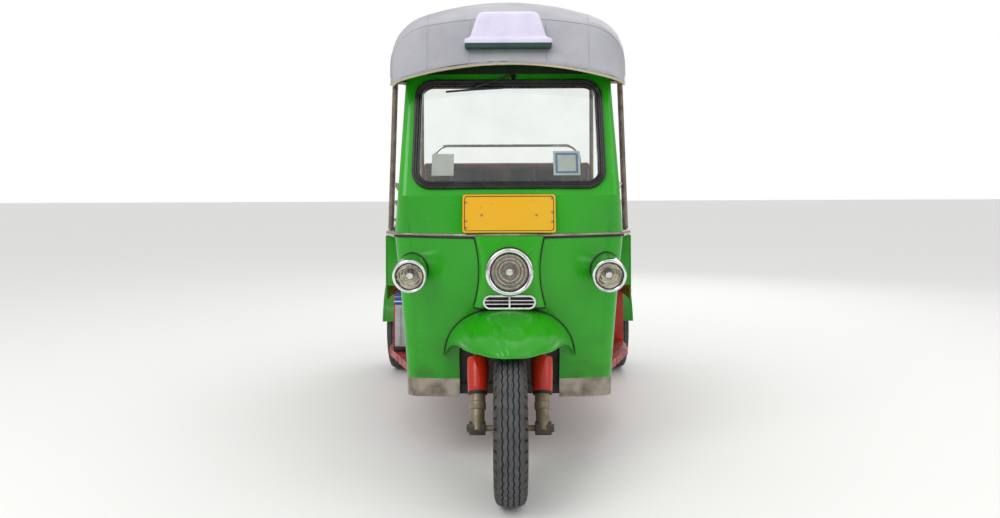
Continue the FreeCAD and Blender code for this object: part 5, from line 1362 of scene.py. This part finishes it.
def stuffing(node, voxel):
    """An even skin of small faces on a copy of a cushion's solid."""
    bm = bmesh.new()
    bm.from_mesh(nodes[node].data)
    bmesh.ops.remove_doubles(bm, verts=bm.verts, dist=1e-5)
    holder = linked(node + "_stuffing", mesh_of(node + "_stuffing", bm))
    voxels = holder.modifiers.new("voxels", "REMESH")
    voxels.mode, voxels.voxel_size = "VOXEL", voxel
    baked(holder)
    return holder


def blow_up(holders):
    """Cloth pressure on the skins, all in one run, pinned where each rests on its board."""
    rests = []
    for holder, (_, _, _, face, _) in zip(holders, CUSHIONS):
        verts = holder.data.vertices
        rests.append([v.co.copy() for v in verts])
        group = holder.vertex_groups.new(name="board")
        group.add([v.index for v in verts if v.normal.dot(-Vector(face)) > 0.75], 1.0, "REPLACE")
        cloth = holder.modifiers.new("cloth", "CLOTH")
        settings = cloth.settings
        settings.quality, settings.mass = 4, 0.3
        settings.tension_stiffness = settings.compression_stiffness = 18
        settings.shear_stiffness, settings.bending_stiffness = 8, 0.8
        settings.use_pressure, settings.uniform_pressure_force = True, 4
        settings.effector_weights.gravity = 0
        settings.vertex_group_mass = "board"
        cloth.collision_settings.use_collision = False
        cloth.point_cache.frame_start, cloth.point_cache.frame_end = 1, CLOTH_FRAMES
    for frame_number in range(1, CLOTH_FRAMES + 1):
        bpy.context.scene.frame_set(frame_number)
    for holder in holders:
        baked(holder)
    bpy.context.scene.frame_set(1)
    for holder, rest, (_, _, cap, _, _) in zip(holders, rests, CUSHIONS):
        for vert, start in zip(holder.data.vertices, rest):
            moved = vert.co - start
            if moved.length > cap:
                vert.co = start + moved * (cap / moved.length)


def sewn(bm, box, face, channels):
    """Draws a blown-up skin in along its sewn channels and crowns it between them."""
    (low, high), tall = box, 1 if face.z > 0.5 else 2
    middle, half = (low + high) / 2, (high - low) / 2
    for vert in bm.verts:
        front = vert.normal.dot(face)
        if front > 0.1:
            along = abs(vert.co[tall] - middle[tall]) / half[tall]
            sink = sum(math.exp(-((vert.co.x - x) / 0.0085) ** 2) for x in channels) * 0.0075
            pull = 0.0016 * noise.noise(Vector((vert.co.x * 14, vert.co.y * 9, vert.co.z * 9 + 3.1)))
            vert.co -= face * (sink * min(1, (front - 0.1) * 2.2) + pull)
            sides = min(abs(vert.co.x - x) for x in channels + [low.x, high.x])
            vert.co += face * 0.004 * min(1, sides / 0.05) * max(0, 1 - along ** 4) * front


def welt(node, skin, box, face):
    """A red welt round the edge of a cushion's face, laid on its skin."""
    low, high = box
    middle, half = (low + high) / 2, (high - low) / 2
    across = Vector((1, 0, 0))
    up = face.cross(across)
    tall, out = abs(up.y) * half.y + abs(up.z) * half.z, half.z if face.z > 0.5 else half.y
    if node == "seat_backrest":
        # it leans, so its box is no measure of its face
        tall, out = 0.220, 0.050
    outline = [Vector((x, z, 0)) for x, z in rounded(half.x, tall, 0.028)]
    ring = []
    for spot in evenly(outline + outline[:1], 161):
        place = middle + across * spot.x + up * spot.y + face * out
        ring.append(skin.find_nearest(place)[0] + face * 0.001)
    bead(f"{node}_welt", [softened(ring)], 0.0042, RED_VINYL)


def cushions():
    """Four stuffed cushions in grained vinyl: blown up, drawn in along sewn channels, with red welts."""
    holders = [stuffing(node, voxel) for node, voxel, *_ in CUSHIONS]
    blow_up(holders)
    for holder, (node, _, _, face, channels) in zip(holders, CUSHIONS):
        face = Vector(face)
        corners = list(zip(*(v.co for v in nodes[node].data.vertices)))
        box = [Vector([pick(values) for values in corners]) for pick in (min, max)]
        bm = bmesh.new()
        bm.from_mesh(holder.data)
        bm.normal_update()
        sewn(bm, box, face, channels)
        bpy.data.objects.remove(holder)
        made = piece(node + "_stuffed", bm, VINYL, sharp=80)
        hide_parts(node)
        welt(node, skin_tree(made.data), box, face)


cushions()


# ---------------------------------------------------------------- camera, light, floor

def studio():
    """Pale floor and soft light from large lamps."""
    bm = bmesh.new()
    bmesh.ops.create_grid(bm, x_segments=1, y_segments=1, size=90)
    floor = linked("floor", mesh_of("floor", bm))
    material, _, shader, _ = begin("pale_floor", Roughness=0.85)
    shader.inputs["Base Color"].default_value = linear("#efeeeb")
    floor.data.materials.append(material)
    world = bpy.data.worlds.new("studio")
    bpy.context.scene.world = world
    world.use_nodes = True
    tree = world.node_tree
    back = tree.nodes["Background"].inputs
    rays = add(tree, "LightPath").outputs
    # white to the eye and through glass, shaded for reflections, soft for the light it gives
    clear = times(tree, rays["Is Camera Ray"], rays["Is Transmission Ray"], "MAXIMUM")
    seen = times(tree, clear, rays["Is Glossy Ray"], "MAXIMUM")
    high = add(tree, "SeparateXYZ", {"Vector": add(tree, "TexCoord").outputs["Generated"]}).outputs["Z"]
    shaded = mixed(tree, ranged(tree, high, -0.1, 0.7), "#85827d", "#fbfbfc")
    sky = mixed(tree, rays["Is Glossy Ray"], "#f2f3f4", shaded)
    tree.links.new(mixed(tree, clear, sky, "#ffffff"), back["Color"])
    tree.links.new(scaled(tree, seen, 0.93, 1.0), back["Strength"])
    # name, place, aim, size, power
    for name, spot, aim, size, power in (
            ("key", (-3.2, -4.6, 4.6), (0, -0.3, 0.8), 3.0, 105),
            ("fill", (4.4, -3.2, 3.2), (0, 0, 0.8), 3.2, 38),
            ("top", (0.3, 0.4, 5.2), (0, 0, 1.0), 3.5, 48),
            ("back", (2.0, 5.0, 3.4), (0, 0.6, 0.9), 3.0, 45)):
        light = bpy.data.lights.new(name, "AREA")
        light.energy, light.size = power, size
        made = linked(name, light)
        made.location = spot
        made.rotation_euler = (Vector(aim) - Vector(spot)).to_track_quat("-Z", "Y").to_euler()
        made.visible_camera = made.visible_transmission = False


def camera():
    """The photograph's view: nearly level, a little over belt height, about 2.7 m ahead of the front wheel."""
    lens = bpy.data.cameras.new("camera")
    # the photograph is 1000 pixels wide, and its focal length 800 pixels
    lens.sensor_width, lens.lens, lens.shift_y = 36, 0.800 * 36, -0.070
    made = linked("camera", lens)
    made.location = (-0.018, -3.852, 1.046)
    made.rotation_euler = [math.radians(turn) for turn in (90.23, 0.23, 0.29)]
    bpy.context.scene.camera = made


studio()
camera()
bpy.context.scene.view_settings.view_transform = "Standard"
